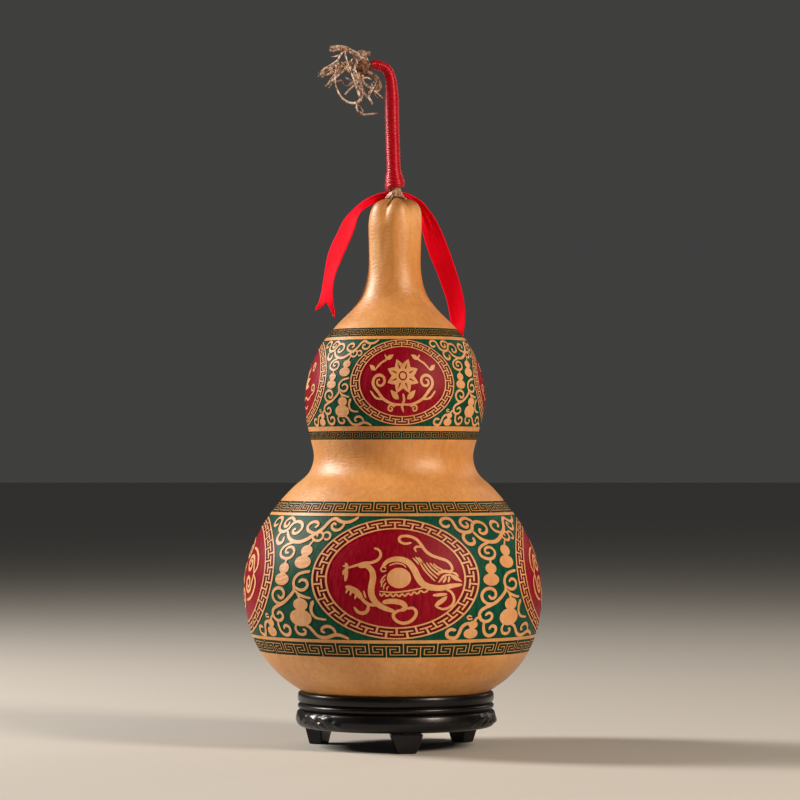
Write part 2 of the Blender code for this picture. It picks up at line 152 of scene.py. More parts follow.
def brushedPaint(name, thin, full, thick, streakWidth, roughness):
    # Water paint brushed into the engraved ground: upright bristle streaks let the lighter coat show, and
    # the cut rind below gives it a fine tooth, about 0.5 mm.
    finish, tree, shader, place = startFinish(name, IOR=1.45, Specular_IOR_Level=0.14)
    upright = addNode(tree, "Mapping", {"Vector": place, "Scale": (1.0, 1.0, 0.12)})
    streaks = addNode(
        tree, "TexNoise", {"Vector": upright, "Scale": 1 / streakWidth, "Detail": 5.0, "Roughness": 0.7}
    )
    tooth = addNode(tree, "TexNoise", {"Vector": place, "Scale": 1900.0, "Detail": 2.0})
    colour = addNode(tree, "ValToRGB", {"Fac": streaks}, [(0.3, thick), (0.5, full), (0.72, thin)])
    gloss = addNode(
        tree, "MapRange", {"Value": streaks, "To Min": roughness - 0.08, "To Max": roughness + 0.12}
    )
    height = addNode(tree, "Math", {0: streaks, 1: tooth}, operation="ADD")
    bump = addNode(tree, "Bump", {"Strength": 0.5, "Distance": 0.2 * mm, "Height": height})
    feed(tree, shader, {"Base Color": colour, "Roughness": gloss, "Normal": bump})
    return finish


def silkThread():
    # Twisted silk thread: deep red with bright fibres along each turn and a soft sheen.
    finish, tree, shader, place = startFinish(
        "redSilkThread", Roughness=0.4, IOR=1.54, Specular_IOR_Level=0.9, Specular_Tint=toLinear("FF4A60"),
        Coat_Weight=0.3, Coat_Roughness=0.22,
    )
    # Fibres about 0.25 mm, drawn coarse enough to show.
    level = addNode(tree, "Mapping", {"Vector": place, "Scale": (0.35, 0.35, 2.6)})
    fibres = addNode(tree, "TexNoise", {"Vector": level, "Scale": 1500.0, "Detail": 3.0})
    colour = addNode(tree, "ValToRGB", {"Fac": fibres}, [(0.3, "7A000C"), (0.55, "B20018"), (0.8, "DC062A")])
    bump = addNode(tree, "Bump", {"Strength": 0.35, "Distance": 0.08 * mm, "Height": fibres})
    feed(tree, shader, {"Base Color": colour, "Normal": bump})
    return finish


def redSatin():
    # Polyester satin ribbon: bright red floats that run along it and a long soft shine.
    finish, tree, shader, _ = startFinish(
        "redSatinRibbon", IOR=1.5, Anisotropic=0.45, Specular_IOR_Level=0.06, Subsurface_Weight=0.8,
        Subsurface_Scale=1.2 * mm,
    )
    strip = addNode(tree, "UVMap", uv_map="ribbonRun")
    # Warp threads about 0.35 mm apart, drawn coarse enough to show.
    threads = addNode(
        tree, "TexWave", {"Vector": strip, "Scale": 900.0, "Distortion": 0.6, "Detail": 2.0},
        bands_direction="X",
    )
    # Floats about 0.6 mm wide and twenty times as long.
    along = addNode(tree, "Mapping", {"Vector": strip, "Scale": (1.0, 0.05, 1.0)})
    lustre = addNode(tree, "TexNoise", {"Vector": along, "Scale": 1600.0, "Detail": 3.0})
    colour = addNode(tree, "ValToRGB", {"Fac": lustre}, [(0.3, "EA001E"), (0.6, "FA0026"), (0.85, "FF062E")])
    gloss = addNode(tree, "MapRange", {"Value": lustre, "To Min": 0.62, "To Max": 0.76})
    bump = addNode(tree, "Bump", {"Strength": 0.3, "Distance": 0.06 * mm, "Height": threads.outputs["Fac"]})
    feed(tree, shader, {"Base Color": colour, "Roughness": gloss, "Normal": bump})
    return finish


def driedVine():
    # Dried gourd vine: papery tendrils bleached to straw, brown bark on the thicker ones, dark cracks that
    # run along them, quite matt. Its weathered patches are about 2 mm and its cracks about 0.7 mm.
    finish, tree, shader, place = startFinish("driedVine", Roughness=0.72, IOR=1.45, Sheen_Weight=0.1)
    bleached = addNode(tree, "Attribute", attribute_name="bleached").outputs["Fac"]
    patches = addNode(tree, "TexNoise", {"Vector": place, "Scale": 450.0, "Detail": 6.0, "Roughness": 0.75})
    cracks = addNode(tree, "TexNoise", {"Vector": place, "Scale": 1500.0, "Detail": 4.0, "Roughness": 0.7})
    bark = addNode(tree, "ValToRGB", {"Fac": patches}, [(0.36, "2E180C"), (0.5, "704228"), (0.64, "B07E60")])
    straw = addNode(tree, "ValToRGB", {"Fac": patches}, [(0.4, "6E3C20"), (0.49, "DCAC84"), (0.57, "FFF6EA")])
    colour = addNode(tree, "Mix", {0: bleached, 6: bark, 7: straw}, data_type="RGBA")
    crackShade = addNode(tree, "ValToRGB", {"Fac": cracks}, [(0.34, "4A3022"), (0.5, "FFFFFF")])
    aged = addNode(
        tree, "Mix", {0: 0.7, 6: colour.outputs[2], 7: crackShade}, data_type="RGBA", blend_type="MULTIPLY"
    )
    bump = addNode(tree, "Bump", {"Strength": 0.8, "Distance": 0.3 * mm, "Height": cracks})
    feed(tree, shader, {"Base Color": aged.outputs[2], "Normal": bump})
    return finish


def driedStem():
    # The bare stem: grey-brown wood, its upright fibres about 0.7 mm wide, dark where it parts from the rind.
    finish, tree, shader, place = startFinish("driedStemWood", Roughness=0.6, IOR=1.45)
    upright = addNode(tree, "Mapping", {"Vector": place, "Scale": (1.0, 1.0, 0.1)})
    fibres = addNode(tree, "TexNoise", {"Vector": upright, "Scale": 1300.0, "Detail": 4.0})
    wood = addNode(tree, "ValToRGB", {"Fac": fibres}, [(0.34, "6A4A30"), (0.5, "A9835E"), (0.66, "D8BC98")])
    height = addNode(tree, "SeparateXYZ", {"Vector": place}).outputs["Z"]
    scar = addNode(
        tree, "MapRange", {"Value": height, "From Min": 263.0 * mm, "From Max": 264.2 * mm},
        interpolation_type="SMOOTHSTEP",
    )
    colour = addNode(tree, "Mix", {0: scar, 6: toLinear("4A2E1A"), 7: wood}, data_type="RGBA")
    bump = addNode(tree, "Bump", {"Strength": 0.7, "Distance": 0.25 * mm, "Height": fibres})
    feed(tree, shader, {"Base Color": colour.outputs[2], "Normal": bump})
    return finish


def blackLacquer():
    # Turned hardwood under black lacquer: near black, glossy, with slight waves from the brush, about 6 mm,
    # and wood pores that the lacquer has not filled, about 0.7 mm.
    finish, tree, shader, place = startFinish(
        "blackLacqueredWood", IOR=1.5, Specular_IOR_Level=0.28, Coat_Weight=0.12, Coat_Roughness=0.14
    )
    waves = addNode(tree, "TexNoise", {"Vector": place, "Scale": 160.0, "Detail": 3.0})
    specks = addNode(tree, "TexNoise", {"Vector": place, "Scale": 1400.0, "Detail": 3.0})
    colour = addNode(tree, "ValToRGB", {"Fac": waves}, [(0.3, "040406"), (0.75, "0C0B0F")])
    gloss = addNode(tree, "MapRange", {"Value": specks, "To Min": 0.2, "To Max": 0.42})
    height = addNode(tree, "Math", {0: waves, 1: specks}, operation="ADD")
    bump = addNode(tree, "Bump", {"Strength": 0.16, "Distance": 0.2 * mm, "Height": height})
    feed(tree, shader, {"Base Color": colour, "Roughness": gloss, "Normal": bump})
    return finish


rind = waxedRind("waxedGourdRind", "C4803C", "D89650", "E4A764", 0.48, 0.3)
# The ornament left bare in the bands was rubbed with paint and wiped, so it is paler and duller.
wipedRind = waxedRind("wipedGourdRind", "CA8A52", "DE9F66", "E8B07A", 0.52, 0.16)
greenPaint = brushedPaint("greenGroundPaint", "0A5A42", "054633", "022C20", 1.3 * mm, 0.42)
fretPaint = brushedPaint("darkGreenFretPaint", "124026", "08301C", "041A10", 1.0 * mm, 0.45)
crimsonPaint = brushedPaint("crimsonGroundPaint", "A4082A", "880018", "6C0010", 1.1 * mm, 0.42)
ringPaint = brushedPaint("darkRedRingPaint", "7E0A18", "62040F", "420309", 1.0 * mm, 0.45)
silk = silkThread()
satin = redSatin()
vine = driedVine()
stemWood = driedStem()
lacquer = blackLacquer()
print("materials made")


def blend(value, start, end):
    # A smooth 0 to 1 as value goes from start to end: t * t * (3 - 2t).
    t = np.clip((value - start) / (end - start), 0, 1)
    return t * t * (3 - 2 * t)


def smoothLine(points, perSpan):
    # A centripetal Catmull-Rom curve: each span is blended from its four neighbours, with knots spaced by
    # the square root of the distance between them.
    p = np.asarray(points, float)
    p = np.vstack([2 * p[0] - p[1], p, 2 * p[-1] - p[-2]])
    a, b, c, d = (p[k : len(p) - 3 + k, None] for k in range(4))
    tb = np.sqrt(np.linalg.norm(b - a, axis=2, keepdims=True))
    tc = tb + np.sqrt(np.linalg.norm(c - b, axis=2, keepdims=True))
    td = tc + np.sqrt(np.linalg.norm(d - c, axis=2, keepdims=True))
    t = tb + (tc - tb) * (np.arange(perSpan) / perSpan)[None, :, None]
    ab = (a * (tb - t) + b * t) / tb
    bc = (b * (tc - t) + c * (t - tb)) / (tc - tb)
    cd = (c * (td - t) + d * (t - tc)) / (td - tc)
    abc = (ab * (tc - t) + bc * t) / tc
    bcd = (bc * (td - t) + cd * (t - tb)) / (td - tb)
    line = (abc * (tc - t) + bcd * (t - tb)) / (tc - tb)
    return np.vstack([line.reshape(-1, p.shape[1]), p[-2]])


def distances(line):
    # How far along a line each of its points is.
    return np.concatenate([[0], np.cumsum(np.linalg.norm(np.diff(line, axis=0), axis=1))])


def spaced(line, step):
    # The same line with points one step apart.
    reach = distances(line)
    wanted = np.linspace(0, reach[-1], max(int(round(reach[-1] / step)), 2) + 1)
    return np.stack([np.interp(wanted, reach, line[:, k]) for k in range(line.shape[1])], axis=1)


def addPiece(name, points, faceSets, finishes, node, faceFinish=None, cornerNormals=None):
    # A mesh object at the origin that stands for a CAD node and rides on its body. Its points come in
    # millimetres, and each set of faces is an array with a row for each face.
    mesh = bpy.data.meshes.new(name)
    faces = [face for faceSet in faceSets for face in faceSet.tolist()]
    mesh.from_pydata((points * mm).tolist(), [], faces)
    mesh.shade_smooth()
    for finish in finishes:
        mesh.materials.append(finish)
    if faceFinish is not None:
        mesh.polygons.foreach_set("material_index", faceFinish.astype(np.int32))
    mesh.update()
    if cornerNormals is not None:
        mesh.normals_split_custom_set(cornerNormals.tolist())
    piece = bpy.data.objects.new(name, mesh)
    bpy.context.scene.collection.objects.link(piece)
    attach(piece, "root")
    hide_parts(node)
    print(f"{name}: {len(mesh.vertices)} points, {len(mesh.polygons)} faces")
    return piece


gourdShape = {
    # The outline from the stem seat down to the foot: radius and height in millimetres.
    "outline": [
        (4.8, 262.1), (7.4, 261.8), (10.2, 260.3), (12.0, 257.0), (12.75, 252.0), (12.5, 239.0),
        (12.5, 230.5), (13.5, 223.0), (16.0, 215.6), (21.0, 208.6), (27.9, 201.5), (34.9, 192.8),
        (40.1, 182.5), (43.0, 168.0), (42.0, 157.5), (39.7, 147.5), (37.9, 138.5), (40.2, 131.0),
        (47.6, 124.0), (55.0, 115.6), (63.0, 104.0), (69.0, 89.5), (71.2, 74.0), (69.2, 58.5),
        (63.8, 45.0), (55.6, 34.6), (46.0, 27.4), (35.0, 20.8), (22.0, 16.2), (9.0, 14.6),
    ],
    # How far its middle is along X, by height.
    "middleHeights": [0.0, 30.0, 74.0, 116.0, 138.0, 168.0, 195.0, 220.0, 250.0, 264.0],
    "middleOffsets": [1.5, 1.5, 0.0, -0.1, 0.4, 1.3, 1.3, 0.7, 0.9, 1.6],
    # The dried folds that run into the stem: turn, depth in millimetres and half width in degrees.
    "creases": [
        (-24.0, 1.8, 9.0), (-34.0, 0.5, 14.0), (40.0, 1.5, 15.0), (31.0, 0.5, 6.0), (98.0, 1.0, 10.0),
        (143.0, 1.3, 8.0), (176.0, 0.5, 8.0), (212.0, 1.4, 10.0), (262.0, 0.9, 9.0), (291.0, 0.5, 8.0),
    ],
    # The heights over which each kind of unevenness comes in, and those over which the bulbs' goes out.
    "bulbSpan": (30, 55),
    "bulbEnd": (205, 225),
    "neckSpan": (212, 240),
    "topSpan": (252, 260.5),
    "creaseSpan": (247, 260),
    "creaseShares": (0.62, 0.95),  # how far a crease of depth 1 draws the radius in and the top down
    "seatRise": 0.6,  # the little collar round the stem
    "columns": 180,
    "engraved": 0.24,  # how deep the painted grounds are cut, in millimetres
}
outlinePoints = smoothLine(gourdShape["outline"], 16)
outlinePoints = np.vstack([[0.0, outlinePoints[0, 1]], outlinePoints, [0.0, outlinePoints[-1, 1]]])
outlineReach = distances(outlinePoints)


def reachAtHeight(height):
    # How far down the outline a height is, in millimetres.
    return np.interp(-np.asarray(height), -outlinePoints[1:-1, 1], outlineReach[1:-1])


def gourdSurface(turn, reach):
    # The rind: a turned outline r(s), z(s), with r + lobes and faint dents on the bulbs + five flutes on the
    # neck + puckers round the stem - a bell-shaped crease depth * exp(-(turn / wide)^2) at each of the dried
    # folds, then set about the leaning middle line. turn is in degrees from the front towards +X, reach and
    # the result are in millimetres.
    shape = gourdShape
    outlineRadius = np.interp(reach, outlineReach, outlinePoints[:, 0])
    height = np.interp(reach, outlineReach, outlinePoints[:, 1])
    angle = np.radians(turn) - np.pi / 2
    lobes = 0.35 * np.cos(2 * angle + 0.8) + 0.25 * np.cos(3 * angle + 2.1)
    dents = 0.09 * np.sin(3 * angle + height / 9.0) + 0.06 * np.sin(7 * angle - height / 5.5 + 1.0)
    flutes = 0.22 * np.cos(5 * angle + 0.4) + 0.07 * np.cos(11 * angle + 0.02 * height)
    puckers = 0.3 * np.cos(5 * angle + 0.4)
    swelling = blend(height, *shape["bulbSpan"]) * (1 - blend(height, *shape["bulbEnd"])) * (lobes + dents)
    swelling = swelling + blend(height, *shape["neckSpan"]) * flutes
    swelling = swelling + blend(height, *shape["topSpan"]) * puckers
    groove = np.zeros(np.broadcast(angle, height).shape)
    for creaseTurn, depth, wide in shape["creases"]:
        away = (np.degrees(angle) + 90 - creaseTurn + 180) % 360 - 180
        groove = groove + depth * np.exp(-((away / wide) ** 2))
    groove = blend(height, *shape["creaseSpan"]) * blend(outlineRadius, 1.5, 4.5) * groove
    inward, downward = shape["creaseShares"]
    radius = outlineRadius + np.clip(outlineRadius / 10, 0, 1) * swelling - inward * groove
    rise = shape["seatRise"] * (1 - blend(outlineRadius, 3.5, 9.5)) * blend(height, 259, 262)
    height = height + rise - downward * groove * blend(height, 257, 262)
    middle = np.interp(height, shape["middleHeights"], shape["middleOffsets"])
    return np.stack([radius * np.cos(angle) + middle, radius * np.sin(angle), height], axis=-1)


def gourdNormals(turn, reach):
    # The rind's outward direction: the cross product of its two slopes.
    across = gourdSurface(turn + 0.4, reach) - gourdSurface(turn - 0.4, reach)
    down = gourdSurface(turn, reach + 0.4) - gourdSurface(turn, reach - 0.4)
    normal = np.cross(down, across)
    return normal / np.maximum(np.linalg.norm(normal, axis=-1, keepdims=True), 1e-9)


# The bands are drawn flat, in millimetres of a sheet that is wrapped round a bulb: X is 1.152 mm a degree
# and Y runs up from the lower tan line, 0 to 60 over the green field.
sheetSet = {
    "perDegree": 1.152,
    "edges": [-10.0, 70.0],
    "levels": [-8.5, -1.5, 0.0, 60.0, 61.5, 68.5],
    "seam": 225.0,  # the turn where the sheet's ends meet, at the back
    "overlap": 20.0,  # how far the grounds run past the seam
    "rowStep": 2.6,
    "strokeStep": 0.8,  # between the points of a stroke's outline
    "panelGap": 24.4,  # the gap between two medallions that the vine panel is drawn for
}
bulbs = {
    # Heights: those of the sheet's levels. Medallions: the turn of each one, drawn by hand and so not quite
    # evenly spaced. Oval: the height of its middle on the sheet and its half width and half height. Fret:
    # the turns at which its upper and lower rows start. Fret line: half of a bare line's width, in pitches.
    "lower": {
        "heights": [46.1, 52.7, 54.2, 111.1, 112.4, 117.7],
        "medallions": [1.2, 88.9, 181.0, 274.2],
        "oval": (29.6, 38.6, 29.1),
        "fret": [4.8, 3.7],
        "fretLine": 0.125,
    },
    "upper": {
        "heights": [146.7, 150.7, 152.9, 194.0, 195.5, 199.6],
        "medallions": [4.9, 96.6, 184.9, 273.3],
        "oval": (30.2, 40.8, 29.4),
        "fret": [5.0, 5.0],
        "fretLine": 0.07,
    },
}
# The grounds: bare rind, the four paints, and the ornament that was painted over and wiped bare.
bare, greenGround, fretGround, crimsonGround, ringGround, wiped = range(6)


def strokeOutline(points, widths):
    # The outline of a stroke: the smooth line offset to both sides by half its width, a function of the
    # share of the way along it, with a point added beyond each tip.
    line = spaced(smoothLine(points, 6), sheetSet["strokeStep"])
    forward = np.gradient(line, axis=0)
    forward /= np.maximum(np.linalg.norm(forward, axis=1, keepdims=True), 1e-9)
    side = np.stack([-forward[:, 1], forward[:, 0]], axis=1)
    half = 0.5 * widths(np.linspace(0, 1, len(line)))[:, None]
    first = line[:1] - forward[:1] * half[:1]
    last = line[-1:] + forward[-1:] * half[-1:]
    return np.vstack([first, line - side * half, last, (line + side * half)[::-1]])


def brushStroke(points, width, ends=0.5):
    # A stroke that swells from a share of its width at its ends to all of it in the middle, as a sine's root.
    return strokeOutline(points, lambda share: width * (ends + (1 - ends) * np.sqrt(np.sin(np.pi * share))))


def taperStroke(points, thick, thin):
    # A stroke whose width runs evenly from thick to thin.
    return strokeOutline(points, lambda share: thick + (thin - thick) * share)


def curl(middle, radius, start, turns, inner=0.24):
    # A spiral: the radius shrinks evenly to inner times itself while the angle turns from start, in
    # degrees, anticlockwise for positive turns.
    share = np.linspace(0, 1, max(int(abs(turns) * 12), 5))
    angle = np.radians(start + 360 * turns * share)
    size = radius * (1 - (1 - inner) * share)
    spiral = np.stack([middle[0] + size * np.cos(angle), middle[1] + size * np.sin(angle)], axis=1)
    return [tuple(point) for point in spiral]


def oval(middle, halfWidth, halfHeight, count=20):
    # An ellipse as an anticlockwise outline.
    angle = np.linspace(0, 2 * np.pi, count, endpoint=False)
    return np.stack([middle[0] + halfWidth * np.cos(angle), middle[1] + halfHeight * np.sin(angle)], 1)


def leaf(foot, angle, length, width, bend=0.0, count=9):
    # A petal or leaf: two sides at width * sin(pi t) from a line of that length, bent sideways by
    # bend * t * t, from its foot in a direction in degrees.
    t = np.linspace(0, 1, count)
    belly = 0.5 * width * np.sin(np.pi * t**0.8)
    sway = bend * t * t
    local = np.concatenate(
        [np.stack([length * t, sway - belly], 1), np.stack([length * t, sway + belly], 1)[::-1]]
    )
    turn = np.radians(angle)
    cos, sin = np.cos(turn), np.sin(turn)
    return local @ np.array([[cos, sin], [-sin, cos]]) + np.asarray(foot)


def littleGourd(stem, small, smallSize, large, largeSize):
    # Two flattened rounds joined by a short waist, on a stalk that widens downwards.
    small, large = np.array(small), np.array(large)
    waist = [0.7 * small + 0.3 * large, 0.3 * small + 0.7 * large]
    return [
        taperStroke(stem, 0.8, 1.5),
        taperStroke(waist, smallSize[0], smallSize[0]),
        oval(small, *smallSize, 18),
        oval(large, *largeSize, 22),
    ]


def vinePanel():
    # The scroll vine with little gourds between two medallions, drawn about the panel's middle.
    strokes = [
        # the two curls at the upper left, their stem and the large curl
        ([(-23.2, 54.9), (-24.6, 54.0), (-26.8, 54.6), (-27.7, 56.4), (-26.4, 58.2), (-23.8, 58.8),
          (-21.3, 57.9), (-20.3, 55.4), (-19.5, 53.1), (-17.6, 51.6), (-15.0, 51.0), (-12.5, 51.4),
          (-10.6, 52.7), (-9.6, 54.8), (-7.6, 56.3), (-4.6, 56.6), (-1.8, 55.4), (-0.7, 53.2), (-2.1, 51.0),
          (-4.6, 50.2), (-6.4, 51.0), (-6.2, 52.4), (-5.2, 52.5)], 1.75),
        ([(-7.8, 56.2), (-10.2, 57.9), (-12.8, 58.7), (-15.6, 57.6), (-16.4, 55.6), (-15.0, 54.0),
          (-13.2, 53.8), (-12.2, 55.0), (-12.7, 56.2)], 1.7),
        ([(-15.4, 50.8), (-16.9, 49.4), (-17.0, 47.3), (-15.3, 45.4), (-13.0, 45.0), (-11.4, 46.2),
          (-11.6, 48.0)], 1.8),
        # the main stem across the top, and the curls on it
        ([(-10.4, 51.0), (-9.2, 49.6), (-7.6, 48.0), (-5.3, 46.8), (-2.0, 46.0), (1.6, 46.1), (4.8, 47.2),
          (7.4, 48.8), (9.6, 50.4), (11.8, 51.8), (13.8, 53.8), (15.4, 56.2), (17.2, 58.0), (19.5, 58.5),
          (22.0, 57.3), (25.0, 56.5), (28.5, 56.9), (31.0, 58.2), (32.4, 59.2)], 1.95),
        ([(9.4, 50.6), (6.5, 51.0), (4.0, 52.1), (3.0, 54.0), (4.1, 55.9), (6.6, 56.7), (9.0, 56.0),
          (9.6, 54.7), (8.2, 53.7)], 1.7),
        ([(7.6, 49.6), (8.5, 48.2), (10.5, 46.9), (13.0, 46.8), (14.6, 48.4), (14.2, 50.3), (12.4, 51.1),
          (10.9, 50.2), (11.2, 49.0)], 1.3),
        ([(14.4, 50.0), (15.6, 51.0), (17.5, 50.9), (18.8, 49.6), (18.5, 48.0), (17.0, 47.3),
          (15.8, 47.9)], 1.2),
        ([(25.2, 56.4), (24.9, 54.4), (23.4, 52.7), (21.0, 52.2), (18.9, 53.2), (18.2, 55.0), (19.3, 56.0),
          (20.4, 55.1)], 1.5),
        ([(-2.6, 45.8), (-5.0, 45.2), (-8.0, 44.0), (-10.0, 42.0), (-9.9, 39.6), (-7.6, 38.1), (-4.0, 37.7),
          (-1.4, 39.0), (-0.7, 41.2), (-2.2, 43.0), (-4.8, 43.3), (-6.6, 42.2), (-6.4, 40.6),
          (-4.4, 40.5)], 1.45),
        # the lower stem with its curls
        ([(10.8, 31.8), (8.0, 31.4), (5.0, 30.5), (2.9, 28.7), (2.2, 26.5), (2.7, 24.5), (2.6, 22.7),
          (1.2, 21.0), (-0.8, 19.2), (-3.4, 17.4), (-6.4, 16.1), (-9.2, 15.1), (-11.6, 13.8), (-12.8, 11.7),
          (-12.0, 9.7), (-9.8, 8.5), (-7.4, 8.7), (-5.6, 10.2), (-5.9, 11.8), (-7.6, 12.5),
          (-9.3, 11.5)], 1.65),
        ([(3.4, 24.3), (5.2, 23.4), (7.6, 23.1), (9.8, 24.2), (10.3, 26.1), (9.0, 27.6), (6.8, 27.8),
          (5.5, 26.8)], 1.5),
        ([(-5.6, 16.6), (-8.4, 16.8), (-10.6, 18.2), (-11.5, 20.5), (-10.3, 22.7), (-7.8, 23.8),
          (-5.0, 23.3), (-3.5, 21.5), (-4.2, 19.6), (-6.2, 19.1), (-7.5, 20.3)], 1.6),
        ([(3.4, 22.7), (5.4, 21.2), (8.0, 20.2), (10.6, 19.6), (12.0, 19.5)], 1.3),
        ([(-9.8, 8.6), (-10.0, 6.2), (-9.2, 3.3), (-7.2, 1.7), (-4.8, 1.6), (-2.7, 3.0), (-2.5, 5.0),
          (-4.2, 6.2), (-6.0, 5.8), (-6.4, 4.8)], 1.7),
        ([(2.2, 6.8), (1.3, 5.0), (2.2, 2.9), (4.6, 2.1), (6.8, 2.8), (7.3, 4.2), (6.0, 4.6)], 1.5),
        # the foot of the panel on the right
        ([(7.9, 6.6), (10.0, 5.8), (11.8, 3.8), (13.5, 1.9), (16.0, 1.0), (19.0, 1.1), (22.0, 2.1),
          (24.5, 2.5), (27.0, 1.9), (29.6, 0.7)], 1.75),
        ([(23.6, 2.5), (23.2, 4.5), (21.4, 6.2), (18.9, 6.4), (16.8, 5.4), (16.4, 4.0), (17.8, 3.5)], 1.5),
        # the foot of the panel on the left
        ([(-16.8, 10.9), (-17.8, 11.4), (-19.0, 10.8), (-18.4, 9.8), (-16.4, 9.9)], 0.9),
        ([(-17.0, 7.8), (-19.6, 7.5), (-21.6, 5.8), (-22.6, 3.2), (-23.8, 1.2), (-26.0, 0.8), (-28.3, 1.8),
          (-28.6, 3.8), (-26.8, 5.1), (-24.6, 4.7)], 1.75),
    ]
    shapes = [brushStroke(points, width, 0.7) for points, width in strokes]
    leafStalk = [(19.4, 9.7), (16.4, 9.9), (13.8, 10.7), (12.2, 12.8), (12.2, 15.4), (13.2, 17.6)]
    shapes.append(taperStroke(leafStalk, 0.9, 1.9))
    gourds = [  # each one's stalk, its small round and its large one: the middle and the half sizes
        ([(-4.5, 37.8), (-5.0, 35.0)], (-5.1, 33.1), (3.3, 2.5), (-5.6, 27.9), (4.6, 2.9)),
        ([(9.8, 47.2), (8.6, 45.6), (7.4, 43.6)], (7.0, 41.7), (3.5, 2.7), (6.0, 36.2), (4.8, 3.1)),
        ([(3.8, 22.3), (5.2, 20.8), (6.1, 18.8)], (6.2, 16.4), (4.2, 2.9), (5.5, 10.2), (6.4, 4.1)),
        ([(-11.8, 11.0), (-14.0, 10.2), (-15.2, 8.6)], (-15.7, 7.1), (2.4, 1.9), (-16.6, 2.9), (3.7, 2.5)),
    ]
    for gourd in gourds:
        shapes += littleGourd(*gourd)
    return [(wiped, shape) for shape in shapes]


# The view that the tortoise is drawn in: a flat picture of the bulb from the front, in its own points.
tortoiseView = {
    "middle": (361, 249),
    "pointHeight": 0.1103,  # millimetres of the sheet up the bulb
    "pointSine": 0.00161,  # what a point across adds to the sine of the turn
    "sheetRadius": 66.0,  # millimetres of the sheet to a radian
}


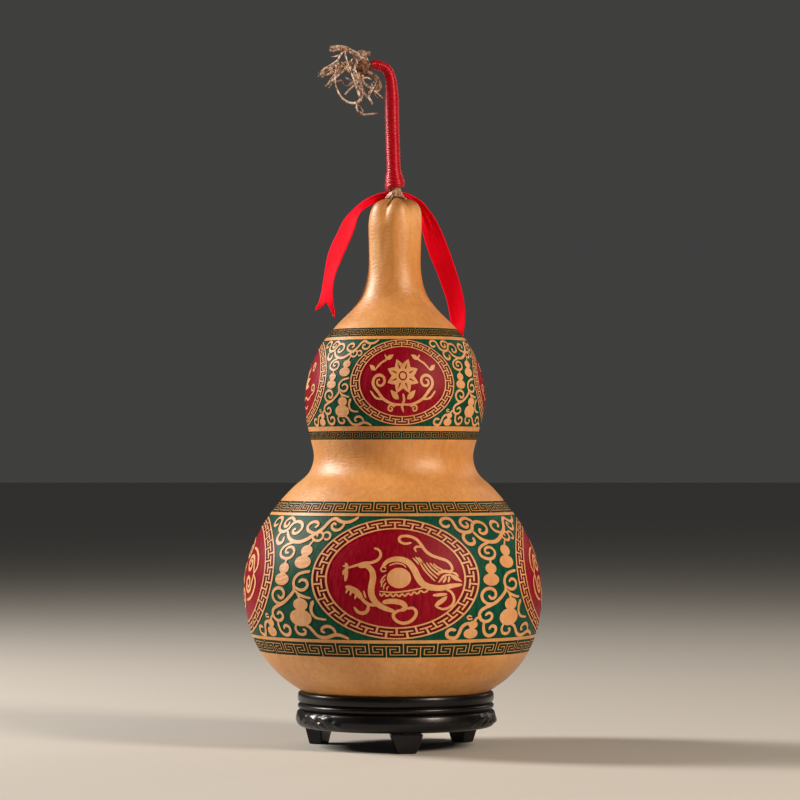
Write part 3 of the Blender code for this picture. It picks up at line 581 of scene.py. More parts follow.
def tortoiseAndSerpent():
    # The traditional tortoise with a serpent round it, in plain strokes about the medallion's middle, each
    # place across unbent from the view by its arcsine.
    def placed(points):
        x, y = np.array(points, float).T - np.array(tortoiseView["middle"])[:, None]
        across = tortoiseView["sheetRadius"] * np.arcsin(tortoiseView["pointSine"] * x)
        return np.stack([across, -tortoiseView["pointHeight"] * y], axis=1)

    strokes = [
        # the tortoise's back, neck and long snout
        ([(306, 208), (326, 184), (358, 173), (392, 176), (420, 192), (440, 222), (454, 254), (474, 280),
          (506, 293), (546, 296), (586, 288), (628, 283)], 3.0, 0.3),
        # the tail below the snout
        ([(562, 300), (584, 312), (596, 334), (594, 358), (578, 376), (550, 384), (524, 374)], 1.25, 0.6),
        ([(514, 326), (540, 324), (566, 322)], 1.5, 0.6),
        ([(566, 333), (552, 346), (536, 357), (520, 370)], 2.1, 0.4),
        # the serpent above it
        ([(430, 101), (402, 105), (381, 94), (379, 79), (396, 70), (426, 72), (455, 85), (474, 110),
          (490, 137), (512, 156), (546, 170), (576, 182), (592, 202), (594, 220), (580, 229),
          (556, 226)], 1.5, 0.6),
        ([(478, 122), (458, 118), (444, 126), (450, 140)], 1.1, 0.6),
        # the feathered side of the shell
        ([(434, 168), (448, 182), (458, 196)], 0.8, 0.5),
        ([(446, 164), (458, 178), (467, 192)], 0.8, 0.5),
        ([(458, 166), (468, 178), (474, 188)], 0.8, 0.5),
        ([(466, 194), (482, 222), (502, 246), (520, 266)], 0.8, 0.7),
        ([(478, 192), (494, 218), (512, 238), (530, 254)], 0.8, 0.7),
        ([(491, 190), (506, 212), (522, 228), (538, 242)], 0.8, 0.7),
        ([(505, 191), (518, 206), (532, 219), (547, 230)], 0.8, 0.7),
        ([(519, 194), (531, 206), (544, 214), (556, 220)], 0.8, 0.7),
        # the head
        ([(532, 238), (550, 228), (570, 226), (590, 232)], 1.5, 0.6),
        ([(536, 272), (546, 260), (556, 248), (574, 241), (592, 242)], 1.0, 0.6),
        ([(554, 273), (562, 261), (567, 250)], 1.1, 0.5),
        ([(574, 272), (579, 260), (580, 248)], 1.1, 0.5),
        ([(592, 231), (607, 237), (618, 249)], 1.1, 0.4),
        # the belly line and its scutes
        ([(297, 309), (350, 313), (402, 308), (446, 300), (482, 292)], 0.75, 0.7),
        ([(297, 318), (304, 329), (316, 318), (326, 330), (340, 319), (350, 331), (364, 320), (374, 331),
          (388, 319), (398, 329), (412, 316), (422, 325), (436, 311), (448, 320), (462, 306), (476, 314),
          (492, 304)], 0.9, 0.8),
        # lines round the shell's eye
        ([(336, 200), (362, 191), (392, 196), (404, 208)], 0.7, 0.6),
        ([(322, 222), (306, 226), (300, 214), (310, 206), (322, 212)], 0.8, 0.7),
        ([(322, 240), (308, 254), (300, 274)], 0.7, 0.6),
        ([(318, 258), (307, 272), (303, 290)], 0.7, 0.6),
        ([(322, 274), (314, 286), (312, 300)], 0.7, 0.6),
        ([(332, 288), (326, 296), (326, 304)], 0.7, 0.6),
        # the neck on the left with its claws, and the thick body below
        ([(272, 126), (290, 133), (299, 152), (290, 174), (262, 188), (232, 190), (200, 200),
          (162, 212)], 1.35, 0.6),
        ([(162, 212), (152, 203), (144, 204)], 1.2, 0.5),
        ([(162, 211), (160, 200), (152, 192)], 1.2, 0.5),
        ([(160, 214), (149, 226), (146, 240)], 1.3, 0.5),
        ([(160, 214), (159, 240), (157, 266)], 1.7, 0.5),
        ([(212, 206), (240, 202), (263, 222), (269, 254), (263, 290), (264, 324), (280, 354), (308, 375),
          (352, 392)], 2.9, 0.45),
        ([(232, 308), (236, 322), (240, 336)], 0.9, 0.6),
        ([(216, 326), (230, 346), (250, 362), (284, 368)], 1.6, 0.5),
        ([(164, 292), (186, 301), (208, 316), (222, 336)], 2.7, 0.7),
        ([(168, 300), (161, 316)], 1.1, 0.6),
        ([(184, 308), (177, 325)], 1.1, 0.6),
        ([(202, 322), (197, 340)], 1.1, 0.6),
        ([(250, 364), (247, 386), (230, 400), (208, 396), (193, 376)], 1.7, 0.4),
        # the curled legs at the foot
        ([(313, 354), (340, 350), (368, 352), (391, 361), (399, 375), (386, 387)], 2.5, 0.7),
        ([(386, 386), (364, 392), (349, 407), (356, 427), (384, 442), (415, 436), (438, 414), (442, 392),
          (428, 378), (408, 380)], 1.5, 0.75),
    ]
    shapes = [brushStroke(placed(points), width, ends) for points, width, ends in strokes]
    shellEye, ear = placed([(375, 253), (584, 243)])
    shapes += [oval(shellEye, 5.25, 4.75, 28), leaf(ear, -27, 6.4, 2.0, -0.3)]
    return [(wiped, shape) for shape in shapes]


def blossomRoundel():
    # An open flower between scrolling leaves.
    turns = np.arange(8) * 45 + 22.5
    shapes = [(wiped, leaf((0, 3), turn, 12.5, 7.4)) for turn in turns]
    shapes += [(crimsonGround, leaf((0, 3), turn, 9.8, 1.3)) for turn in turns]
    shapes += [(wiped, leaf((0, 3), turn + 22.5, 7.6, 4.4)) for turn in turns]
    shapes += [(crimsonGround, oval((0, 3), 3.2, 3.2, 20)), (wiped, oval((0, 3), 2.2, 2.2, 16))]
    strokes = [([(0, -9), (0.8, -13), (-0.4, -17), (0.6, -20.6)], 1.9)]
    for side in (-1, 1):
        strokes += [
            ([(side * 0.4, -16), (side * 7, -15.6), (side * 14, -12.4),
              (side * 19.4, -6.4), *curl((side * 17.2, -0.8), 5.4, 90 - side * 130, side * 1.35)], 2.1),
            ([(side * 14, -12.4), (side * 19.6, -11.6), (side * 24.0, -7.0)], 1.5),
            ([(side * 5, -15.8), *curl((side * 8.6, -18.6), 2.6, 90 + side * 60, -side * 1.2)], 1.3),
            ([(side * 21.4, 6.8), (side * 17.0, 11.6), (side * 12.6, 14.6), (side * 14.2, 17.6)], 1.5),
        ]
        shapes += [(wiped, leaf((side * 3, -12.4), 90 - side * 52, 8.6, 4.0, side * 1.0))]
        shapes += [(wiped, leaf((side * 21.6, 6.6), 90 - side * 38, 5.8, 3.2, -side * 0.8))]
        shapes += [(wiped, leaf((side * 12.8, 14.6), 90 + side * 70, 6.6, 3.4, -side * 1.0))]
    return shapes + [(wiped, brushStroke(points, width)) for points, width in strokes]


def lotusRoundel():
    # A lotus flower over its leaves and water.
    shapes = [leaf((0, -4), 90, 19, 7.4), leaf((0, -4), 62, 17, 6.2, -2.4), leaf((0, -4), 118, 17, 6.2, 2.4)]
    shapes += [leaf((0, -4), 34, 16, 5.4, -3.2), leaf((0, -4), 146, 16, 5.4, 3.2)]
    shapes += [leaf((0, -4), 10, 15, 4.2, -2.0), leaf((0, -4), 170, 15, 4.2, 2.0)]
    cuts = [leaf((0, -1), 90, 12.5, 2.4)]
    cuts += [leaf((1.6, -1), 62, 11, 1.8, -1.4), leaf((-1.6, -1), 118, 11, 1.8, 1.4)]
    strokes = [
        ([(0, -5), (0.8, -9), (-0.6, -13.5), (0, -18.5)], 1.5),
        ([(-22, -9), (-16, -12), (-9, -10.6), (-2, -12.6)], 1.5),
        ([(22, -9), (16, -12), (9, -10.6), (2, -12.6)], 1.5),
        ([(-15, -16), (-9, -18), (-3, -16.4)], 1.2),
        ([(15, -16), (9, -18), (3, -16.4)], 1.2),
        ([(-22, -9), *curl((-23.6, -4.6), 3.4, 250, -1.3)], 1.3),
        ([(22, -9), *curl((23.6, -4.6), 3.4, 290, 1.3)], 1.3),
        (curl((-17.6, 9.6), 3.6, 0, 1.4), 1.3),
        (curl((17.6, 9.6), 3.6, 180, -1.4), 1.3),
    ]
    shapes += [brushStroke(points, width) for points, width in strokes]
    return [(wiped, shape) for shape in shapes] + [(crimsonGround, shape) for shape in cuts]


def cloudRoundel():
    # A cloud knot: four pairs of curls about a small blossom, and a drifting tail at each end.
    shapes = [(wiped, leaf((0, 0), 90 * k + 45, 7.6, 4.2)) for k in range(4)]
    shapes += [(crimsonGround, oval((0, 0), 2.1, 2.1, 16)), (wiped, oval((0, 0), 1.2, 1.2, 12))]
    strokes = []
    for x, y, turn in ((0, 11.2, 90), (14.2, 0, 0), (0, -11.2, 270), (-14.2, 0, 180)):
        way = np.radians(turn)
        ahead, beside = np.array([np.cos(way), np.sin(way)]), np.array([-np.sin(way), np.cos(way)])
        for side in (-1, 1):
            heart = np.array([x, y]) + side * 4.6 * beside
            tip = tuple(np.array([x, y]) + 6.4 * ahead)
            strokes.append(([tip, *curl(heart, 4.3, turn + side * 35, side * 1.45)], 1.8))
    for side in (-1, 1):
        for rise in (-1, 1):
            strokes.append(
                ([(side * 20.5, 0), (side * 23.4, rise * 3.6), (side * 22.0, rise * 8.2),
                  (side * 17.4, rise * 11.6), (side * 12.0, rise * 12.6)], 1.5)
            )
    return shapes + [(wiped, brushStroke(points, width)) for points, width in strokes]


fretShape = {
    "units": 26,  # round the band
    "unitSize": (9, 5),  # a unit's length and height, in pitches
    "overrun": 0.5,  # how far a bar may run past the border, in millimetres
    # The bars of a unit: the first and last place along it, and the first and last place down it.
    "bars": [
        (0, 0, -0.4, 4), (-3.5, 3.5, 4, 4), (3.5, 3.5, 2, 4), (2, 3.5, 2, 2), (-3.5, -3.5, 2, 4),
        (-3.5, -2, 2, 2), (4.5, 4.5, 1, 5.4), (1, 8, 1, 1), (1, 1, 1, 3), (1, 2.5, 3, 3), (8, 8, 1, 3),
        (6.5, 8, 3, 3),
    ],
}


def fretBorder(phase, top, bottom, half):
    # The key fret round the band, as bare bars on dark green, each half a line wide on either side.
    length, high = fretShape["unitSize"]
    pitch = sheetSet["perDegree"] * 360 / fretShape["units"] / length
    tall = (top - bottom) / high
    lowest, highest = bottom - fretShape["overrun"], top + fretShape["overrun"]
    shapes = []
    for unit in range(fretShape["units"]):
        left = phase * sheetSet["perDegree"] + unit * length * pitch
        for first, last, upper, lower in fretShape["bars"]:
            x0, x1 = left + (first - half) * pitch, left + (last + half) * pitch
            y0, y1 = max(top - (lower + half) * tall, lowest), min(top - (upper - half) * tall, highest)
            shapes.append((bare, np.array([(x0, y0), (x1, y0), (x1, y1), (x0, y1)])))
    return shapes


medallionShape = {
    # Shares of the half widths: where the rim ends, and the inner line's two edges.
    "rim": 0.976,
    "innerLine": (0.824, 0.80),
    "pairs": 24,
    # The leg and the bar of each T, standing inwards and outwards: half of its spread in degrees and its
    # two shares of the half widths.
    "inwardT": [(0.85, 0.815, 0.93), (5.0, 0.914, 0.937)],
    "outwardT": [(0.85, 0.87, 0.985), (5.0, 0.864, 0.887)],
}


def medallion(motif, raised, wide, tall):
    # An oval: a bare rim, a ring of 24 pairs of Ts on dark red, a bare inner line and the crimson ground
    # with its motif.
    shape = medallionShape
    middle = np.array([0.0, raised])

    def ringPatch(turn, spread, *shares):
        # A patch of the ring, spread to both sides of a turn, between two shares of the half widths.
        angles = np.radians(np.linspace(turn - spread, turn + spread, 4 if spread > 1 else 2))
        inner, outer = (np.stack([wide * r * np.cos(angles), tall * r * np.sin(angles)], 1) for r in shares)
        return (wiped, np.vstack([outer, inner[::-1]]) + middle)

    def disc(ground, share, count):
        return (ground, oval(middle, share * wide, share * tall, count))

    shapes = [disc(wiped, 1, 120), disc(ringGround, shape["rim"], 120)]
    step = 360 / shape["pairs"]
    for k in range(shape["pairs"]):
        shapes += [ringPatch(step * k, *part) for part in shape["inwardT"]]
        shapes += [ringPatch(step * (k + 0.5), *part) for part in shape["outwardT"]]
    shapes += [disc(wiped, shape["innerLine"][0], 100), disc(crimsonGround, shape["innerLine"][1], 100)]
    return shapes + [(ground, drawn + middle) for ground, drawn in motif]


def bandShapes(bulb, motifs):
    # Every shape of one band, in painting order, repeated past the seam on both sides.
    period = 360 * sheetSet["perDegree"]
    start = sheetSet["seam"] * sheetSet["perDegree"] - period
    levels, past = sheetSet["levels"], sheetSet["overlap"]

    def strip(ground, low, high):
        left, right = start - past, start + period + past
        return (ground, np.array([(left, low), (right, low), (right, high), (left, high)]))

    shapes = [
        strip(fretGround, *levels[0:2]), strip(greenGround, *levels[2:4]), strip(fretGround, *levels[4:6])
    ]
    drawn = fretBorder(bulb["fret"][0], levels[5], levels[4], bulb["fretLine"])
    drawn += fretBorder(bulb["fret"][1], levels[1], levels[0], bulb["fretLine"])
    panel = vinePanel()
    middles = np.array(bulb["medallions"]) * sheetSet["perDegree"]
    for motif, middle, after in zip(motifs, middles, [*middles[1:], middles[0] + period]):
        gap = after - middle - 2 * bulb["oval"][1]
        stretch = np.array([gap / sheetSet["panelGap"], 1.0])
        shift = np.array([0.5 * (middle + after), 0.0])
        drawn += [(ground, shape * stretch + shift) for ground, shape in panel]
        roundel = medallion(motif(), *bulb["oval"])
        drawn += [(ground, shape + np.array([middle, 0.0])) for ground, shape in roundel]
    for ground, shape in drawn:
        for offset in (-2 * period, -period, 0.0, period):
            moved = shape + np.array([offset, 0.0])
            if moved[:, 0].max() > start - 1 and moved[:, 0].min() < start + period + 1:
                shapes.append((ground, moved))
    return shapes, start, period


def insideShape(points, outline):
    # The winding number of a closed outline about each point: upward edges to the right count +1 and
    # downward ones -1.
    a, b = outline, np.roll(outline, -1, axis=0)
    x, y = points[:, 0][:, None], points[:, 1][:, None]
    cross = (b[:, 0] - a[:, 0]) * (y - a[:, 1]) - (x - a[:, 0]) * (b[:, 1] - a[:, 1])
    up = (a[:, 1] <= y) & (b[:, 1] > y) & (cross > 0)
    down = (a[:, 1] > y) & (b[:, 1] <= y) & (cross < 0)
    return (up.sum(1) - down.sum(1)) != 0


def cutSheet(bulb, motifs):
    # The flat band as triangles that keep every outline, and the ground that each triangle lies in.
    shapes, start, period = bandShapes(bulb, motifs)
    low, high = sheetSet["edges"]
    levels = [low, *sheetSet["levels"], high]
    rows = [high]
    for a, b in zip(levels[:-1], levels[1:]):
        count = max(int(round((b - a) / sheetSet["rowStep"])), 1)
        rows = np.concatenate([rows, np.linspace(a, b, count, endpoint=False)])
    across = start + period * np.arange(gourdShape["columns"] + 1) / gourdShape["columns"]
    grid = np.stack(np.meshgrid(across, np.sort(rows)), axis=-1)
    ids = np.arange(grid.size // 2).reshape(grid.shape[:2])
    edges = [np.stack([ids[r, :-1], ids[r, 1:]], 1) for r in (0, -1)]
    edges += [np.stack([ids[:-1, c], ids[1:, c]], 1) for c in (0, -1)]
    points, count = [grid.reshape(-1, 2)], grid.size // 2
    for _, shape in shapes:
        ring = count + np.arange(len(shape))
        edges.append(np.stack([ring, np.roll(ring, -1)], 1))
        points.append(shape)
        count += len(shape)
    points, edges = np.vstack(points).tolist(), np.vstack(edges).tolist()
    flat, _, faces, *_ = delaunay_2d_cdt(points, edges, [], 0, 1e-5, False)
    flat, faces = np.array(flat), np.array(faces)
    centres = flat[faces].mean(axis=1)

    def within(lowest, highest):
        return np.all((centres >= lowest) & (centres <= highest), axis=1)

    kept = within((start, low), (start + period, high))
    faces, centres = faces[kept], centres[kept]
    ground = np.full(len(faces), bare)
    for label, shape in shapes:
        near = np.flatnonzero(within(shape.min(axis=0), shape.max(axis=0)))
        ground[near[insideShape(centres[near], shape)]] = label
    # The points on the right end of the sheet become those on its left end.
    left = np.flatnonzero(np.abs(flat[:, 0] - start) < 1e-3)
    right = np.flatnonzero(np.abs(flat[:, 0] - start - period) < 1e-3)
    twin = np.arange(len(flat))
    twin[right] = left[np.abs(flat[right, 1][:, None] - flat[left, 1][None]).argmin(1)]
    faces = twin[faces]
    whole = (faces[:, 0] != faces[:, 1]) & (faces[:, 1] != faces[:, 2]) & (faces[:, 2] != faces[:, 0])
    return flat, faces[whole], ground[whole]


def wrapSheet(bulb, motifs, firstId):
    # The sheet on its bulb: bare parts at the rind, painted grounds cut below it, and a wall at each edge
    # between them. Its rims are the rings of points along its lower and its upper end.
    flat, faces, ground = cutSheet(bulb, motifs)
    levels, reaches = np.array(sheetSet["levels"]), reachAtHeight(bulb["heights"])
    slope = (reaches[-1] - reaches[0]) / (levels[-1] - levels[0])
    further = np.array([-5.0, 5.0])  # past the last levels, the sheet goes on evenly
    levels = np.insert(levels[[0, -1]] + further, 1, levels)
    reaches = np.insert(reaches[[0, -1]] + slope * further, 1, reaches)
    # Each corner's key is twice its flat point's number, and 1 more where it lies at the cut depth.
    sunk = (ground != bare) & (ground != wiped)
    used, corner = np.unique(faces * 2 + sunk[:, None], return_inverse=True)
    corner = corner.reshape(faces.shape)
    turn = flat[used // 2, 0] / sheetSet["perDegree"]
    reach = np.interp(flat[used // 2, 1], levels, reaches)
    normals = gourdNormals(turn, reach)
    depth = gourdShape["engraved"] * (used % 2)
    points = gourdSurface(turn, reach) - normals * depth[:, None]
    # Each edge runs the other way in the triangle across it: where that one is sunk, a wall joins them.
    a, b = faces.ravel(), np.roll(faces, -1, axis=1).ravel()
    own = np.repeat(np.arange(len(faces)), 3)
    size = len(flat) + 1
    order = np.argsort(a * size + b)
    found = np.searchsorted((a * size + b)[order], b * size + a)
    match = order[np.clip(found, 0, len(order) - 1)]
    paired = (a[match] == b) & (b[match] == a)
    edge = np.flatnonzero(paired & ~sunk[own] & sunk[own[match]])
    highA, lowA = (np.searchsorted(used, a[edge] * 2 + k) for k in (0, 1))
    highB, lowB = (np.searchsorted(used, b[edge] * 2 + k) for k in (0, 1))
    rims = []
    for level in sheetSet["edges"]:
        rim = np.flatnonzero(np.abs(flat[used // 2, 1] - level) < 1e-4)
        rims.append(firstId + rim[np.argsort(flat[used[rim] // 2, 0])])
    return {
        "points": points,
        "normals": normals,
        "triangles": corner + firstId,
        "grounds": ground,
        "walls": np.stack([highA, lowA, lowB, highB], axis=1) + firstId,
        "wallGrounds": ground[own[match[edge]]],
        "rims": rims,
    }


def makeGourd():
    # One closed rind: the stem seat and neck, the upper band, the waist, the lower band and the foot.
    shape, columns = gourdShape, gourdShape["columns"]
    turns = sheetSet["seam"] - 360 + 360 * np.arange(columns) / columns
    upper = wrapSheet(bulbs["upper"], [blossomRoundel, lotusRoundel, cloudRoundel, lotusRoundel], 0)
    lowerMotifs = [tortoiseAndSerpent, cloudRoundel, lotusRoundel, cloudRoundel]
    lower = wrapSheet(bulbs["lower"], lowerMotifs, len(upper["points"]))
    points, normals = ([band[key] for band in (upper, lower)] for key in ("points", "normals"))
    count = sum(map(len, points))
    quads, caps = [], []

    def rimReach(rim):
        # How far down the outline a band's rim lies.
        return float(np.mean(reachAtHeight(np.vstack(points)[rim, 2])))

    def addRings(reaches):
        nonlocal count
        turn, reach = np.meshgrid(turns, reaches)
        points.append(gourdSurface(turn, reach).reshape(-1, 3))
        normals.append(gourdNormals(turn, reach).reshape(-1, 3))
        rings = count + np.arange(turn.size).reshape(turn.shape)
        count += turn.size
        return list(rings)

    def joinRings(rings):
        above, below = np.array(rings[:-1]), np.array(rings[1:])
        joined = np.stack([above, below, np.roll(below, -1, 1), np.roll(above, -1, 1)], axis=-1)
        quads.append(joined.reshape(-1, 4))

    def cap(ring, place, upwards):
        nonlocal count
        points.append(np.array([place]))
        normals.append(np.array([(0.0, 0.0, 1.0 if upwards else -1.0)]))
        around = (ring, np.roll(ring, -1)) if upwards else (np.roll(ring, -1), ring)
        caps.append(np.stack([np.full(columns, count), *around], axis=1))
        count += 1

    (upperFoot, upperTop), (lowerFoot, lowerTop) = (map(rimReach, band["rims"]) for band in (upper, lower))
    # The rings lie closest where the creases are, round the stem.
    creased, neck = np.arange(1.5, 18, 0.6), np.arange(18, 52, 1.7)
    neckRings = addRings(np.concatenate([creased, neck, np.arange(52, upperTop - 1, 2.0)]))
    joinRings([*neckRings, upper["rims"][1]])
    cap(neckRings[0], (shape["middleOffsets"][-1], 0.0, shape["outline"][0][1]), True)
    waistRings = addRings(np.linspace(upperFoot, lowerTop, 16)[1:-1])
    joinRings([upper["rims"][0], *waistRings, lower["rims"][1]])
    footRings = addRings(np.linspace(lowerFoot, outlineReach[-1] - 4, 30)[1:])
    joinRings([lower["rims"][0], *footRings])
    cap(footRings[-1], (shape["middleOffsets"][0], 0.0, shape["outline"][-1][1]), False)
    points, normals = np.vstack(points), np.vstack(normals)
    triangles, quads = np.vstack([upper["triangles"], lower["triangles"], *caps]), np.vstack(quads)
    walls = np.vstack([upper["walls"], lower["walls"]])
    plain = np.full(sum(map(len, caps)) + len(quads), bare)
    grounds = np.concatenate(
        [upper["grounds"], lower["grounds"], plain, upper["wallGrounds"], lower["wallGrounds"]]
    )
    a, b, c, _ = points[walls].transpose(1, 0, 2)
    wallNormals = np.cross(b - a, c - a)
    wallNormals /= np.maximum(np.linalg.norm(wallNormals, axis=1, keepdims=True), 1e-12)
    smooth = [normals[faces].reshape(-1, 3) for faces in (triangles, quads)]
    paints = [rind, greenPaint, fretPaint, crimsonPaint, ringPaint, wipedRind]
    return addPiece(
        "paintedGourd", points, [triangles, quads, walls], paints, "gourd", grounds,
        np.vstack([*smooth, np.repeat(wallNormals, 4, axis=0)]),
    )


makeGourd()
print("gourd made")


def carried(path):
    # Directions along a path and two square to it, each carried from the last without twist.
    forward = np.gradient(path, axis=0)
    forward /= np.linalg.norm(forward, axis=1, keepdims=True)
    side = np.zeros_like(path)
    start = np.eye(3)[np.abs(forward[0]).argmin()]
    for k, direction in enumerate(forward):
        start = start - direction * (start @ direction)
        start = start / np.linalg.norm(start)
        side[k] = start
    return forward, side, np.cross(forward, side)


def ringFaces(rings, sides, closed=False):
    # Quads between the rings of a tube, whose rows run forwards and whose columns run anticlockwise.
    ids = np.arange(rings * sides).reshape(rings, sides)
    after = np.roll(ids, -1, axis=0) if closed else ids[1:]
    ids = ids if closed else ids[:-1]
    return np.stack([ids, np.roll(ids, -1, 1), np.roll(after, -1, 1), after], axis=-1).reshape(-1, 4)


def cappedFaces(rings, sides):
    # Such a tube with both ends closed to the two points that follow its last ring: quads and triangles.
    ring = np.arange(sides)
    last = (rings - 1) * sides + ring
    first = np.stack([np.full(sides, rings * sides), np.roll(ring, -1), ring], axis=1)
    final = np.stack([np.full(sides, rings * sides + 1), last, np.roll(last, -1)], axis=1)
    return ringFaces(rings, sides), np.vstack([first, final])


def rod(path, radii, sides, ripple=0.0, ribs=5, flat=1.0, twist=0.0):
    # A tube: P(s, a) = path(s) + r(s) (1 + ripple cos(ribs a + 2s)) (flat cos(a) side(s) + sin(a) up(s)),
    # with side and up turned by twist s, and each end drawn to a point a third of the radius further on.
    forward, side, up = carried(path)
    share = np.linspace(0, 1, len(path))[:, None]
    cos, sin = np.cos(twist * share), np.sin(twist * share)
    side, up = (side * cos + up * sin)[:, None], (up * cos - side * sin)[:, None]
    angle = np.linspace(0, 2 * np.pi, sides, endpoint=False)[None]
    size = radii[:, None] * (1 + ripple * np.cos(ribs * angle + 2.0 * share))
    across, upward = (size * flat * np.cos(angle))[..., None], (size * np.sin(angle))[..., None]
    body = path[:, None] + across * side + upward * up
    ends = [path[0] - 0.35 * radii[0] * forward[0], path[-1] + 0.35 * radii[-1] * forward[-1]]
    return np.vstack([body.reshape(-1, 3), ends]), *cappedFaces(len(path), sides)


stemShape = {
    "run": [
        (2.2, 0.0, 262.4), (1.9, 0.0, 265.0), (1.3, 0.0, 268.4), (0.8, 0.0, 272.0), (0.5, 0.0, 277.0),
        (0.1, 0.0, 288.5), (-0.3, 0.0, 300.5), (-0.4, -0.1, 310.5), (-0.6, -0.2, 316.0),
        (-1.1, -0.4, 320.3), (-2.1, -0.6, 323.5), (-4.0, -0.8, 325.6), (-6.6, -1.0, 326.6),
        (-10.6, -1.2, 327.0), (-14.0, -1.3, 326.4),
    ],
    "radius": 2.2,
    "rootFlare": 0.3,  # its share of the radius
    "collar": 0.7,  # what the scar at its root stands further out, in millimetres
    "tipShare": 0.64,
    "taper": (46.0, 66.0),  # where along the run it grows thinner
}


def stemRadius(reach):
    # The stem's radius: flared at its root, thinner towards the knot.
    flare = stemShape["rootFlare"] * (1 - blend(reach, 0, 4.5))
    return stemShape["radius"] * (1 + flare - (1 - stemShape["tipShare"]) * blend(reach, *stemShape["taper"]))


